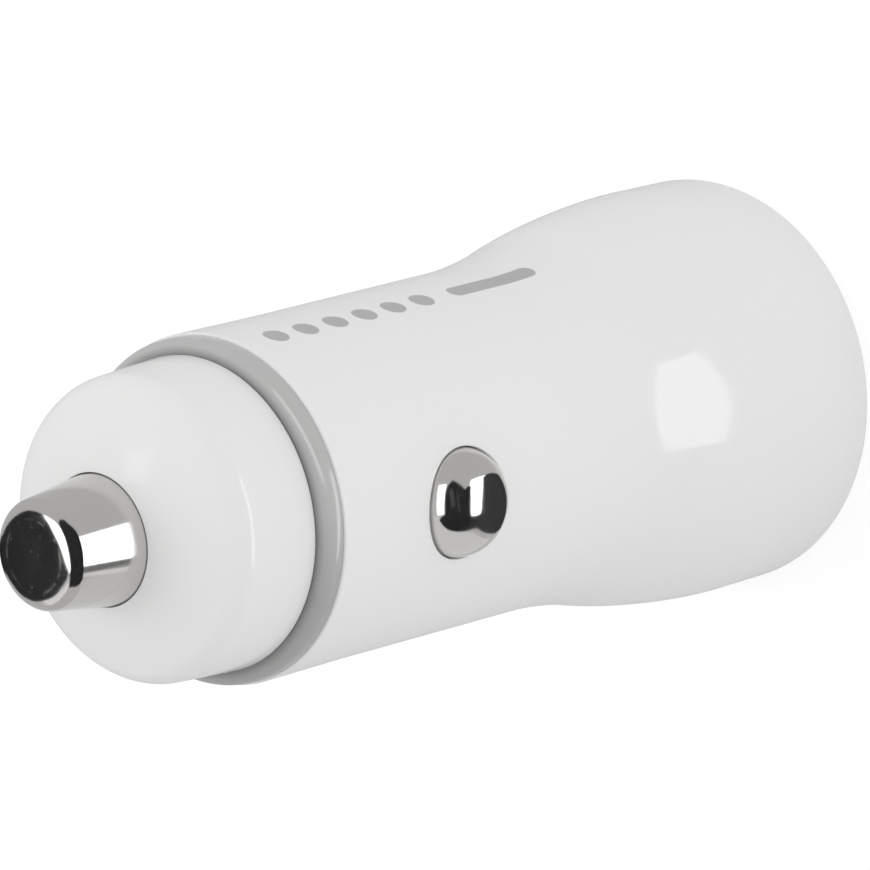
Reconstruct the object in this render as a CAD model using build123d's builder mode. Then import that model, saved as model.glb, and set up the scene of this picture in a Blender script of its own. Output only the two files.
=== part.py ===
from build123d import *
import os
from math import sqrt

os.makedirs("parts", exist_ok=True)

# Car USB charger plug, in millimetres.
# It stands on the rim of its head, Z runs up the axis to the centre contact,
# and the two side contacts face along X.

# Heights of the outside, stacked from the rim up
head_straight = 4.9
flare_length = 18.45
barrel_length = 22.0
ring_height = 1.3
nose_height = 8.05
tip_reach = 5.08

# Radii of the outside: the barrel's front land, and steps from it
barrel_radius = 10.25
barrel_draft = 0.2
flare_width = 2.35
ring_step = 0.15
nose_step = 1.05
nose_draft = 0.35
nose_shoulder_round = 2.0
nose_dome_radius = 14.7

# Housing
wall = 1.5
rim_wall = 1.4
rim_chamfer = 0.4
front_chamfer = 0.15
flare_bend_share = 0.41
land_length = 6.4
board_rib_thickness = 1.0
board_rib_depth = 1.6
rib_spigot_gap = 0.5

# Nose cap and trim ring
spigot_depth = 4.2
spigot_wall = 1.3
nose_lip = 2.1
nose_inner_chamfer = 1.2
nose_edge_chamfer = 0.15
ring_front_round = 0.75
bead_height = 0.2
bead_width = 1.0
bead_setback = 1.2

# Centre contact
tip_face_radius = 2.27
tip_front_radius = 3.16
tip_base_radius = 3.8
tip_crown_drop = 0.325
tip_crown_round = 3.3
tip_round = 0.53
tip_flange_width = 1.4
tip_flange_height = 1.1
tip_wall = 0.42
tip_face_thickness = 2.18

# Coil spring and its terminal
spring_wire_radius = 0.3
spring_wire_sides = 6
spring_turns = 5
terminal_radius = 3.4
terminal_thickness = 0.8
terminal_boss_height = 1.2
terminal_leg_length = 3.0
terminal_leg_width = 2.4
terminal_leg_thickness = 0.4

# Side contacts
contact_setback = 10.4
contact_radius = 3.2
contact_proud = 1.7
contact_cap_radius = 4.4
contact_shoulder_round = 0.5
contact_wall = 0.95
contact_face_thickness = 1.6
contact_flange_width = 0.85
contact_flange_height = 0.5

# Leaf springs
leaf_thickness = 0.3
leaf_width = 4.0
leaf_bend = 0.9
leaf_foot_length = 2.5
leaf_drop = 9.0
leaf_crest_margin = 0.2

# Circuit board
board_thickness = 1.2
board_edge_gap = 0.7
board_tab_half_width = 3.2
board_tab_length = 1.6

# USB sockets
usb_width = 13.1
usb_height = 5.7
usb_depth = 12.0
usb_sheet = 0.3
usb_corner = 0.7
usb_mouth_setback = 0.1
usb_tongue_width = 11.1
usb_tongue_thickness = 1.84
usb_tongue_gap = 0.6
usb_tongue_setback = 1.0
usb_block_depth = 2.6
usb_pin_width = 1.0
usb_pin_thickness = 0.25
usb_pin_setback = 0.9
usb_pin_pitch_inner = 2.0
usb_pin_pitch_outer = 2.5
usb_finger_width = 1.6
usb_finger_length = 5.0
usb_finger_slot = 0.35
usb_finger_spacing = 5.4
usb_finger_setback = 2.0

# Face plate
face_recess = 0.8
face_thickness = 1.5
face_ledge = 0.5
face_skirt_height = 2.5
face_skirt_wall = 0.9
window_chamfer = 0.35

# Parts on the board
part_spacing = 1.2
coil_flange_radius = 3.0
coil_flange_thickness = 0.9
coil_hub_radius = 1.5
coil_winding_radius = 2.6
coil_height = 5.0
can_radius = 3.0
can_height = 5.4
can_base_thickness = 0.8
can_chamfer = 0.3
can_groove_height = 1.9
can_groove_depth = 0.3
parts_raise = 0.4
block_length = 7.3
block_width = 4.3
block_height = 2.8
block_chamfer = 0.3
chip_length = 4.9
chip_width = 3.9
chip_height = 1.5
chip_lead_pitch = 1.27
chip_lead_width = 0.42
chip_lead_reach = 1.05
chip_lead_thickness = 0.22
diode_length = 4.3
diode_width = 2.6
diode_height = 2.1
diode_lead_width = 1.4
diode_lead_reach = 0.5
diode_spacing = 0.5
small_part_length = 1.6
small_part_width = 0.8
small_part_height = 0.6
small_part_pitch = 2.6

# Clearances
slide_clearance = 0.08
press_clearance = 0.05
rest_gap = 0.05

# Heights that follow
flare_top = head_straight + flare_length
barrel_top = flare_top + barrel_length
ring_top = barrel_top + ring_height
nose_top = ring_top + nose_height
tip_top = nose_top + tip_reach
contact_height = barrel_top - contact_setback
face_inside = face_recess + face_thickness
spigot_bottom = barrel_top - spigot_depth

# Radii that follow
barrel_root_radius = barrel_radius + barrel_draft
head_radius = barrel_root_radius + flare_width
bore_radius = barrel_radius - wall
head_bore_radius = head_radius - rim_wall
ledge_radius = head_bore_radius - face_ledge
ring_radius = barrel_radius - ring_step
nose_base_radius = barrel_radius - nose_step
nose_shoulder_radius = nose_base_radius - nose_draft
spigot_radius = bore_radius - press_clearance
nose_hole_radius = tip_base_radius + slide_clearance
tip_flange_radius = tip_base_radius + tip_flange_width
tip_bore_radius = tip_front_radius - tip_wall
port_radius = contact_radius + slide_clearance
contact_bore_radius = contact_radius - contact_wall
contact_flange_radius = contact_radius + contact_flange_width
contact_reach = barrel_radius + contact_proud
half_board = board_thickness / 2
board_half_width = bore_radius - board_edge_gap


def flare(mouth, root):
    """Draw the bell curve from the head (mouth) up to the barrel (root) as two tangent arcs."""
    turn = (
        root[0] + (mouth[0] - root[0]) * flare_bend_share,
        root[1] + (mouth[1] - root[1]) * flare_bend_share,
    )
    lower = TangentArc(mouth, turn, tangent=(0, 1))
    TangentArc(turn, root, tangent=lower % 1)


def side_plane(facing, height):
    """Give the plane across the side contacts: its x runs outwards, its y runs up."""
    return Plane(origin=(0, 0, height), x_dir=(facing, 0, 0), z_dir=(0, -facing, 0))


def board_plane(facing):
    """Give the plane of one face of the board: its y runs up, its normal points off the board."""
    return Plane(origin=(facing * half_board, 0, 0), x_dir=(0, facing, 0), z_dir=(facing, 0, 0))


def finish(piece, name):
    """Name a piece and write its file."""
    piece.part.label = name
    export_step(piece.part, "parts/" + name + ".step")


def snap_ridge(radius, margin):
    """Give the three corners of the ring-shaped snap on a given radius, from the top down.

    The bead on the nose cap and the groove in the barrel share them, the groove wider by a margin.
    """
    middle = spigot_bottom + bead_setback + bead_width / 2
    half = bead_width / 2 + margin
    return (
        (radius, middle + half),
        (radius + bead_height, middle),
        (radius, middle - half),
    )


# Housing: barrel, flare and head in one moulding
rib_bottom = flare_top
rib_top = spigot_bottom - rib_spigot_gap
rib_inner = board_half_width - board_rib_depth
rib_outer = bore_radius + wall / 3
rib_middle = half_board + slide_clearance + board_rib_thickness / 2

with BuildPart() as housing:
    with BuildSketch(Plane.XZ):
        with BuildLine():
            Polyline(
                (barrel_root_radius, flare_top),
                (barrel_radius, barrel_top - land_length),
                (barrel_radius, barrel_top),
                (bore_radius, barrel_top),
                *snap_ridge(bore_radius, press_clearance),
                (bore_radius, flare_top),
                (ledge_radius, head_straight),
                (ledge_radius, face_inside),
                (head_bore_radius, face_inside),
                (head_bore_radius, 0),
                (head_radius, 0),
                (head_radius, head_straight),
            )
            flare((head_radius, head_straight), (barrel_root_radius, flare_top))
        make_face()
        rim_corner = vertices().sort_by_distance((head_radius, 0))[0]
        chamfer(rim_corner, length=rim_chamfer)
        rim_inner_corner = vertices().sort_by_distance((head_bore_radius, 0))[0]
        chamfer(rim_inner_corner, length=rim_chamfer / 2)
        front_corner = vertices().sort_by_distance((barrel_radius, barrel_top))[0]
        chamfer(front_corner, length=front_chamfer)
    revolve(axis=Axis.Z)
    with BuildSketch(Plane.XY.offset(rib_bottom)):
        with GridLocations(2 * rib_middle, rib_inner + rib_outer, 2, 2):
            Rectangle(board_rib_thickness, rib_outer - rib_inner)
    extrude(amount=rib_top - rib_bottom)
    with BuildSketch(Plane.YZ):
        with Locations((0, contact_height)):
            Circle(port_radius)
    extrude(amount=head_radius, both=True, mode=Mode.SUBTRACT)
finish(housing, "housing")


# Nose cap: dome outside, flat stop for the centre contact inside, spigot snapped in the barrel
dome_centre = nose_top - sqrt(nose_dome_radius**2 - nose_hole_radius**2)
dome_edge = dome_centre + sqrt(nose_dome_radius**2 - nose_shoulder_radius**2)
dome_top = dome_centre + nose_dome_radius
nose_stop = nose_top - nose_lip
spigot_inner = spigot_radius - spigot_wall

with BuildPart() as nose_cap:
    with BuildSketch(Plane.XZ):
        with BuildLine():
            Line((0, dome_edge), (nose_shoulder_radius, dome_edge))
            RadiusArc((nose_shoulder_radius, dome_edge), (0, dome_top), -nose_dome_radius)
            Line((0, dome_top), (0, dome_edge))
        make_face()
        with BuildLine():
            Polyline(
                (0, dome_edge),
                (nose_shoulder_radius, dome_edge),
                (nose_base_radius, ring_top),
                (spigot_radius, ring_top),
                *snap_ridge(spigot_radius, 0),
                (spigot_radius, spigot_bottom),
                (0, spigot_bottom),
                close=True,
            )
        make_face()
        shoulder = vertices().sort_by_distance((nose_shoulder_radius, dome_edge))[0]
        fillet(shoulder, radius=nose_shoulder_round)
        lower_edge = vertices().sort_by_distance((nose_base_radius, ring_top))[0]
        chamfer(lower_edge, length=nose_edge_chamfer)
    revolve(axis=Axis.Z)
    with BuildSketch(Plane.XZ):
        with BuildLine():
            Polyline(
                (0, spigot_bottom),
                (spigot_inner, spigot_bottom),
                (spigot_inner, nose_stop),
                (0, nose_stop),
                close=True,
            )
        make_face()
        roof_corner = vertices().sort_by_distance((spigot_inner, nose_stop))[0]
        chamfer(roof_corner, length=nose_inner_chamfer)
    revolve(axis=Axis.Z, mode=Mode.SUBTRACT)
    with BuildSketch(Plane.XY.offset(nose_stop)):
        Circle(nose_hole_radius)
    extrude(amount=dome_top - nose_stop, mode=Mode.SUBTRACT)
finish(nose_cap, "nose_cap")


# Trim ring between nose and barrel
with BuildPart() as trim_ring:
    with BuildSketch(Plane.XZ):
        with BuildLine():
            Polyline(
                (bore_radius, barrel_top),
                (ring_radius, barrel_top),
                (ring_radius, ring_top),
                (bore_radius, ring_top),
                close=True,
            )
        make_face()
        ring_front = vertices().sort_by_distance((ring_radius, ring_top))[0]
        fillet(ring_front, radius=ring_front_round)
    revolve(axis=Axis.Z)
finish(trim_ring, "trim_ring")


# Centre contact: tapered plunger with a flange behind the nose and a bore for the coil spring
flange_top = nose_stop - rest_gap
flange_bottom = flange_top - tip_flange_height
tip_bore_top = tip_top - tip_face_thickness
tip_shoulder = tip_top - tip_crown_drop

with BuildPart() as tip_contact:
    with BuildSketch(Plane.XZ):
        with BuildLine():
            Polyline(
                (0, tip_bore_top),
                (0, tip_top),
                (tip_face_radius, tip_top),
                (tip_front_radius, tip_shoulder),
                (tip_base_radius, nose_top),
                (tip_base_radius, flange_top),
                (tip_flange_radius, flange_top),
                (tip_flange_radius, flange_bottom),
                (tip_bore_radius, flange_bottom),
                (tip_bore_radius, tip_bore_top),
                close=True,
            )
        make_face()
        tip_corner = vertices().sort_by_distance((tip_front_radius, tip_shoulder))[0]
        fillet(tip_corner, radius=tip_round)
        tip_crown = vertices().sort_by_distance((tip_face_radius, tip_top))[0]
        fillet(tip_crown, radius=tip_crown_round)
    revolve(axis=Axis.Z)
finish(tip_contact, "tip_contact")


# Terminal on the board's end, under the coil spring
board_top = rib_top + board_tab_length
terminal_top = board_top + terminal_thickness
spring_radius = tip_bore_radius - slide_clearance - spring_wire_radius
terminal_boss_radius = spring_radius - spring_wire_radius - slide_clearance

with BuildPart() as positive_terminal:
    with BuildSketch(Plane.XY.offset(board_top)):
        Circle(terminal_radius)
    extrude(amount=terminal_thickness)
    with BuildSketch(Plane.XY.offset(terminal_top)):
        Circle(terminal_boss_radius)
    extrude(amount=terminal_boss_height)
    with BuildSketch(Plane.XY.offset(board_top)):
        with GridLocations(board_thickness + terminal_leg_thickness, 0, 2, 1):
            Rectangle(terminal_leg_thickness, terminal_leg_width)
    extrude(amount=-terminal_leg_length)
finish(positive_terminal, "positive_terminal")


# Coil spring behind the centre contact
spring_bottom = terminal_top + spring_wire_radius + rest_gap
spring_height = tip_bore_top - spring_wire_radius - rest_gap - spring_bottom

with BuildPart() as tip_spring:
    with BuildLine() as coil:
        Helix(
            pitch=spring_height / spring_turns,
            height=spring_height,
            radius=spring_radius,
            center=(0, 0, spring_bottom),
        )
    with BuildSketch(Plane(origin=coil.line @ 0, z_dir=coil.line % 0)):
        RegularPolygon(radius=spring_wire_radius, side_count=spring_wire_sides)
    sweep(path=coil.line, is_frenet=True)
finish(tip_spring, "tip_spring")


# Side contacts and their leaf springs, one on each side
flange_outer = sqrt((bore_radius - rest_gap) ** 2 - contact_flange_radius**2)
flange_inner = flange_outer - contact_flange_height
cap_height = contact_cap_radius - sqrt(contact_cap_radius**2 - contact_radius**2)
cap_edge = contact_reach - cap_height
contact_bore_end = contact_reach - contact_face_thickness
leaf_face = flange_inner - rest_gap
leaf_middle = leaf_face - leaf_thickness / 2
leaf_foot = half_board + leaf_thickness / 2
leaf_bottom = -leaf_drop
leaf_rise = leaf_bottom + leaf_foot_length
leaf_crest = contact_flange_radius - leaf_crest_margin


def side_contact(facing):
    """Make one domed side contact with a blind bore, facing out along plus or minus X."""
    with BuildPart() as contact:
        with BuildSketch(side_plane(facing, contact_height)):
            with BuildLine():
                Polyline(
                    (cap_edge, contact_radius),
                    (flange_outer, contact_radius),
                    (flange_outer, contact_flange_radius),
                    (flange_inner, contact_flange_radius),
                    (flange_inner, contact_bore_radius),
                    (contact_bore_end, contact_bore_radius),
                    (contact_bore_end, 0),
                    (contact_reach, 0),
                )
                RadiusArc((contact_reach, 0), (cap_edge, contact_radius), -contact_cap_radius)
            make_face()
            shoulder = vertices().sort_by_distance((cap_edge, contact_radius))[0]
            fillet(shoulder, radius=contact_shoulder_round)
        revolve(axis=Axis((0, 0, contact_height), (facing, 0, 0)))
    return contact


def side_spring(facing):
    """Make one leaf spring: a foot on the board, a rise and a crest behind the contact."""
    with BuildPart() as leaf:
        with BuildSketch(side_plane(facing, contact_height)):
            with BuildLine():
                FilletPolyline(
                    (leaf_foot, leaf_bottom),
                    (leaf_foot, leaf_rise),
                    (leaf_middle, -leaf_crest),
                    (leaf_middle, leaf_crest),
                    radius=leaf_bend,
                )
            trace(line_width=leaf_thickness)
        extrude(amount=leaf_width / 2, both=True)
    return leaf


# Circuit board
with BuildPart() as main_board:
    with BuildSketch(Plane.YZ):
        with BuildLine():
            Polyline(
                (-board_half_width, face_inside),
                (board_half_width, face_inside),
                (board_half_width, rib_top),
                (board_tab_half_width, rib_top),
                (board_tab_half_width, board_top),
                (-board_tab_half_width, board_top),
                (-board_tab_half_width, rib_top),
                (-board_half_width, rib_top),
                close=True,
            )
        make_face()
    extrude(amount=half_board, both=True)
finish(main_board, "main_board")


# USB sockets, one on each face of the board
usb_mouth = face_recess + usb_mouth_setback
usb_back = usb_mouth + usb_depth
usb_middle = half_board + usb_height / 2
usb_inner_width = usb_width - 2 * usb_sheet
usb_inner_height = usb_height - 2 * usb_sheet
tongue_outer = usb_height / 2 - usb_sheet - usb_tongue_gap
tongue_inner = tongue_outer - usb_tongue_thickness
tongue_front = usb_mouth + usb_tongue_setback
block_front = usb_back - usb_block_depth
pin_front = tongue_front + usb_pin_setback
finger_root = usb_mouth + usb_finger_setback
finger_opening_width = usb_finger_width + 2 * usb_finger_slot
finger_opening_length = usb_finger_length + usb_finger_slot
finger_end = finger_root + finger_opening_length
pin_places = (
    -usb_pin_pitch_inner / 2 - usb_pin_pitch_outer,
    -usb_pin_pitch_inner / 2,
    usb_pin_pitch_inner / 2,
    usb_pin_pitch_inner / 2 + usb_pin_pitch_outer,
)


def socket_plane(facing, height):
    """Give the plane across one socket: its x runs off the board, its normal runs up."""
    return Plane(origin=(facing * usb_middle, 0, height), x_dir=(facing, 0, 0), z_dir=(0, 0, 1))


def usb_shell(facing):
    """Make one socket shell, a folded sheet tube with two spring fingers slit in each broad wall."""
    with BuildPart() as shell:
        with BuildSketch(socket_plane(facing, usb_mouth)):
            RectangleRounded(usb_height, usb_width, usb_corner)
            RectangleRounded(
                usb_inner_height,
                usb_inner_width,
                usb_corner - usb_sheet,
                mode=Mode.SUBTRACT,
            )
        extrude(amount=usb_depth)
        with BuildSketch(board_plane(facing)):
            with Locations((0, finger_end - finger_opening_length / 2)):
                with GridLocations(usb_finger_spacing, 0, 2, 1):
                    Rectangle(finger_opening_width, finger_opening_length)
            with Locations((0, finger_root + usb_finger_length / 2)):
                with GridLocations(usb_finger_spacing, 0, 2, 1):
                    Rectangle(usb_finger_width, usb_finger_length, mode=Mode.SUBTRACT)
        extrude(amount=usb_height, mode=Mode.SUBTRACT)
    return shell


def usb_insulator(facing):
    """Make one socket insulator: a block that closes the back and a tongue that reaches forward."""
    with BuildPart() as insulator:
        with BuildSketch(socket_plane(facing, block_front)):
            RectangleRounded(
                usb_inner_height,
                usb_inner_width,
                usb_corner - usb_sheet,
            )
        extrude(amount=usb_block_depth)
        with BuildSketch(socket_plane(facing, tongue_front)):
            with Locations(((tongue_inner + tongue_outer) / 2, 0)):
                Rectangle(usb_tongue_thickness, usb_tongue_width)
        extrude(amount=block_front - tongue_front)
        with BuildSketch(socket_plane(facing, block_front)):
            for place in pin_places:
                with Locations((tongue_inner - usb_pin_thickness / 2, place)):
                    Rectangle(usb_pin_thickness, usb_pin_width)
        extrude(amount=usb_block_depth, mode=Mode.SUBTRACT)
    return insulator


def usb_contacts(facing):
    """Make the four contact strips of one socket, each with its leg down to the board."""
    leg_length = tongue_inner + usb_height / 2
    with BuildPart() as contacts:
        with BuildSketch(socket_plane(facing, pin_front)):
            for place in pin_places:
                with Locations((tongue_inner - usb_pin_thickness / 2, place)):
                    Rectangle(usb_pin_thickness, usb_pin_width)
        extrude(amount=usb_back + usb_pin_thickness - pin_front)
        with BuildSketch(socket_plane(facing, usb_back)):
            for place in pin_places:
                with Locations((tongue_inner - leg_length / 2, place)):
                    Rectangle(leg_length, usb_pin_width)
        extrude(amount=usb_pin_thickness)
    return contacts


for side, facing in (("right", 1), ("left", -1)):
    finish(side_contact(facing), "side_contact_" + side)
    finish(side_spring(facing), "side_spring_" + side)
    finish(usb_shell(facing), "usb_shell_" + side)
    finish(usb_insulator(facing), "usb_insulator_" + side)
    finish(usb_contacts(facing), "usb_contacts_" + side)


# Face plate in the head, with a window for each socket
plate_radius = head_bore_radius - press_clearance
skirt_radius = ledge_radius - press_clearance
window_height = usb_height + 2 * press_clearance
window_width = usb_width + 2 * press_clearance

with BuildPart() as face_plate:
    with BuildSketch(Plane.XY.offset(face_recess)):
        Circle(plate_radius)
    extrude(amount=face_thickness)
    with BuildSketch(Plane.XY.offset(face_inside)):
        Circle(skirt_radius)
        Circle(skirt_radius - face_skirt_wall, mode=Mode.SUBTRACT)
    extrude(amount=face_skirt_height)
    with BuildSketch(Plane.XY.offset(face_recess)):
        with GridLocations(2 * usb_middle, 0, 2, 1):
            RectangleRounded(window_height, window_width, usb_corner)
    extrude(amount=face_thickness + face_skirt_height, mode=Mode.SUBTRACT)
    window_edges = [loop.edges() for loop in faces().sort_by(Axis.Z)[0].inner_wires()]
    chamfer(window_edges, length=window_chamfer)
finish(face_plate, "face_plate")


# Drum coil on the right face
parts_bottom = usb_back + usb_pin_thickness + part_spacing
coil_middle = parts_bottom + coil_flange_radius

with BuildPart() as inductor_core:
    with BuildSketch(board_plane(1)):
        with Locations((0, coil_middle)):
            Circle(coil_flange_radius)
    extrude(amount=coil_flange_thickness)
    with BuildSketch(board_plane(1)):
        with Locations((0, coil_middle)):
            Circle(coil_hub_radius)
    extrude(amount=coil_height)
    with BuildSketch(board_plane(1).offset(coil_height - coil_flange_thickness)):
        with Locations((0, coil_middle)):
            Circle(coil_flange_radius)
    extrude(amount=coil_flange_thickness)
finish(inductor_core, "inductor_core")

with BuildPart() as inductor_winding:
    with BuildSketch(board_plane(1).offset(coil_flange_thickness)):
        with Locations((0, coil_middle)):
            Circle(coil_winding_radius)
            Circle(coil_hub_radius, mode=Mode.SUBTRACT)
    extrude(amount=coil_height - 2 * coil_flange_thickness)
finish(inductor_winding, "inductor_winding")


# Can capacitor on the left face
can_middle = parts_bottom + can_radius
can_groove = half_board + can_groove_height

with BuildPart() as input_capacitor:
    with BuildSketch(side_plane(-1, can_middle)):
        with BuildLine():
            Polyline(
                (half_board + can_base_thickness, 0),
                (half_board + can_base_thickness, can_radius),
                (can_groove - can_groove_depth, can_radius),
                (can_groove, can_radius - can_groove_depth),
                (can_groove + can_groove_depth, can_radius),
                (half_board + can_height, can_radius),
                (half_board + can_height, 0),
                close=True,
            )
        make_face()
        can_rim = vertices().sort_by_distance((half_board + can_height, can_radius))[0]
        chamfer(can_rim, length=can_chamfer)
    revolve(axis=Axis((0, 0, can_middle), (-1, 0, 0)))
    with BuildSketch(board_plane(-1)):
        with Locations((0, can_middle)):
            Rectangle(2 * can_radius, 2 * can_radius)
    extrude(amount=can_base_thickness)
finish(input_capacitor, "input_capacitor")


# Block capacitor on the left face, behind the side contact
block_middle = contact_height + parts_raise

with BuildPart() as output_capacitor:
    with BuildSketch(board_plane(-1)):
        with Locations((0, block_middle)):
            Rectangle(block_width, block_length)
    extrude(amount=block_height)
    block_rim = faces().sort_by(Axis.X)[0].edges()
    chamfer(block_rim, length=block_chamfer)
finish(output_capacitor, "output_capacitor")


# Converter chip on the right face, behind the side contact
chip_middle = contact_height + parts_raise
lead_row = chip_width / 2 + chip_lead_reach / 2

with BuildPart() as regulator_chip:
    with BuildSketch(board_plane(1).offset(chip_lead_thickness)):
        with Locations((0, chip_middle)):
            Rectangle(chip_width, chip_length)
    extrude(amount=chip_height - chip_lead_thickness)
    with BuildSketch(board_plane(1)):
        with Locations((0, chip_middle)):
            with GridLocations(2 * lead_row - chip_lead_reach, chip_lead_pitch, 2, 4):
                Rectangle(2 * chip_lead_reach, chip_lead_width)
    extrude(amount=chip_lead_thickness)
finish(regulator_chip, "regulator_chip")


# Diode on the left face, between the leaf spring's foot and the rib
diode_middle = contact_height - leaf_drop + leaf_foot_length
diode_place = leaf_width / 2 + diode_width / 2 + diode_spacing

with BuildPart() as rectifier_diode:
    with BuildSketch(board_plane(-1).offset(chip_lead_thickness)):
        with Locations((diode_place, diode_middle)):
            Rectangle(diode_width, diode_length)
    extrude(amount=diode_height - chip_lead_thickness)
    with BuildSketch(board_plane(-1)):
        with Locations((diode_place, diode_middle)):
            Rectangle(diode_lead_width, diode_length + 2 * diode_lead_reach)
    extrude(amount=chip_lead_thickness)
finish(rectifier_diode, "rectifier_diode")


# Small chip parts in rows beside the bigger ones
small_place = board_half_width - board_rib_depth - small_part_width

with BuildPart() as chip_resistors:
    with BuildSketch(board_plane(1)):
        for row in (-1, 0, 1):
            with Locations((small_place, chip_middle + row * small_part_pitch)):
                Rectangle(small_part_width, small_part_length)
    extrude(amount=small_part_height)
finish(chip_resistors, "chip_resistors")

with BuildPart() as chip_capacitors:
    with BuildSketch(board_plane(-1)):
        for row in (-1, 1):
            with Locations((-small_place, block_middle + row * small_part_pitch / 2)):
                Rectangle(small_part_width, small_part_length)
    extrude(amount=small_part_height)
finish(chip_capacitors, "chip_capacitors")
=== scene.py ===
"""Looks of a car USB charger plug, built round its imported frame.

The plug stands on the rim of its head, its axis is Z and its side contacts face along X. Sizes are in
millimetres, as in the part's source, and become metres where a mesh is made.
"""

import logging
from dataclasses import dataclass
from enum import Enum
from math import asin, atan2, cos, hypot, pi, radians, sin, sqrt, tan, tau
from typing import Iterator, Optional, Sequence, Union

import bmesh
import bpy
from bmesh.types import BMEdge, BMFace, BMesh, BMVert
from bpy.types import Material, Node, NodeSocket, NodeTree, Object
from mathutils import Matrix, Vector


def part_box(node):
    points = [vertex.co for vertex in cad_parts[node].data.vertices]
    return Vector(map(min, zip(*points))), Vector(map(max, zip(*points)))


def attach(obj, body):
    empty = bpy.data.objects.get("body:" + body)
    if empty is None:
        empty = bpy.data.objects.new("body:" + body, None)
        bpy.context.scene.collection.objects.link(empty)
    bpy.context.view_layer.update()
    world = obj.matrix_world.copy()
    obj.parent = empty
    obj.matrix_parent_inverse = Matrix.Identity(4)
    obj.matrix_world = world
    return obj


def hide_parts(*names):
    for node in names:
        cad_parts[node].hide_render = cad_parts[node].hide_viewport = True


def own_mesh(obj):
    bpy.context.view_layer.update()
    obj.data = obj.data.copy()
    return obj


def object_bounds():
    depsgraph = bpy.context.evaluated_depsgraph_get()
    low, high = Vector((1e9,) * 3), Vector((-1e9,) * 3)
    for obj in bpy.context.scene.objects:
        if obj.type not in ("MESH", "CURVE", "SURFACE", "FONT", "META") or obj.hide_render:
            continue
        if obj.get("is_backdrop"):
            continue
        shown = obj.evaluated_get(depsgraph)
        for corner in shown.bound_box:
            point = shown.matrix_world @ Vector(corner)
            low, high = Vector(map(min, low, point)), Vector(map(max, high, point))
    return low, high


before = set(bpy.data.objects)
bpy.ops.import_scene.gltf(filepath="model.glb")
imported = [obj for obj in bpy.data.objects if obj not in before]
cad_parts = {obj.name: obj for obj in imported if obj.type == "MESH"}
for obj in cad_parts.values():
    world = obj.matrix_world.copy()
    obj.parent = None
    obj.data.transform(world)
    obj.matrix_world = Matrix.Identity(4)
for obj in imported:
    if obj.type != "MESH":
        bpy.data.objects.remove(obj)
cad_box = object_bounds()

LOG = logging.getLogger("plug")

MM = 0.001
WELD = 1e-4 * MM
SHARP_ANGLE = radians(35)
TURN_STEPS = 192
# Most of a noise pattern lies between these two values.
NOISE_RANGE = (0.3, 0.7)
WHITE = (1, 1, 1, 1)

Colour = tuple[float, float, float]
Value = Union[float, Sequence[float], NodeSocket]


class Facing(Enum):
    """The side that a part of a pair faces, as the sign of its X axis."""

    RIGHT = 1
    LEFT = -1

    @property
    def side(self) -> str:
        """Give the side's name as the nodes and bodies spell it."""
        return self.name.lower()


@dataclass(frozen=True)
class Corner:
    """One corner of an outline, in millimetres.

    Attributes:
        radius: Distance from the axis.
        height: Distance along the axis.
        rounding: Radius that the corner is rounded to, 0 for a sharp one.
        segments: Number of steps in the rounding.
    """

    radius: float
    height: float
    rounding: float = 0.0
    segments: int = 6

    @classmethod
    def of_arc(
        cls, centre: tuple[float, float], rounding: float, start: float, end: float, segments: int
    ) -> "Corner":
        """Give the corner whose rounding is a wanted arc.

        Args:
            centre: Radius and height of the arc's centre.
            rounding: The arc's radius.
            start: Angle from the axis at which the arc starts, in radians.
            end: Angle from the axis at which the arc ends, in radians.
            segments: Number of steps in the arc.

        Returns:
            The point where the arc's two end tangents meet, with the arc as its rounding.
        """
        middle = (start + end) / 2
        reach = rounding / cos((end - start) / 2)
        return cls(centre[0] + reach * sin(middle), centre[1] + reach * cos(middle), rounding, segments)


class Outline:
    """A flat outline in the XZ plane that becomes a turned or drawn mesh."""

    def __init__(self, corners: Sequence[Corner], closed: bool = True) -> None:
        """Keep the corners of the outline.

        Args:
            corners: The corners in order.
            closed: Whether the last corner joins the first.
        """
        self.corners = list(corners)
        self.closed = closed

    def wire(self) -> BMesh:
        """Draw the outline as edges, with its corners rounded.

        Returns:
            A new mesh that holds only the outline.
        """
        mesh = bmesh.new()
        points = [mesh.verts.new((c.radius * MM, 0, c.height * MM)) for c in self.corners]
        ends = points[1:] + points[:1] if self.closed else points[1:]
        for point, following in zip(points, ends):
            mesh.edges.new((point, following))
        for point, corner in zip(points, self.corners):
            if corner.rounding:
                bmesh.ops.bevel(
                    mesh,
                    geom=[point],
                    offset=self._setback(point, corner.rounding * MM),
                    offset_type="OFFSET",
                    affect="VERTICES",
                    segments=corner.segments,
                    profile=0.5,
                    clamp_overlap=False,
                    material=-1,
                )
        bmesh.ops.remove_doubles(mesh, verts=mesh.verts, dist=WELD)
        return mesh

    @staticmethod
    def _setback(point: BMVert, rounding: float) -> float:
        """Work out how far from a corner its rounding starts.

        Args:
            point: The corner's vertex, with two edges.
            rounding: Radius of the rounding, in metres.

        Returns:
            The distance along each edge, in metres.
        """
        one, two = ((edge.other_vert(point).co - point.co).normalized() for edge in point.link_edges)
        return rounding / tan(one.angle(two) / 2)

    def turned(self, steps: int = TURN_STEPS) -> BMesh:
        """Turn the outline into a body round the Z axis.

        Args:
            steps: Number of steps in the full turn.

        Returns:
            The closed mesh, with its faces outwards.
        """
        mesh = self.wire()
        bmesh.ops.spin(
            mesh,
            geom=mesh.verts[:] + mesh.edges[:],
            cent=(0, 0, 0),
            axis=(0, 0, 1),
            angle=tau,
            steps=steps,
            use_merge=True,
        )
        bmesh.ops.remove_doubles(mesh, verts=mesh.verts, dist=WELD)
        bmesh.ops.recalc_face_normals(mesh, faces=mesh.faces)
        return mesh


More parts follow.
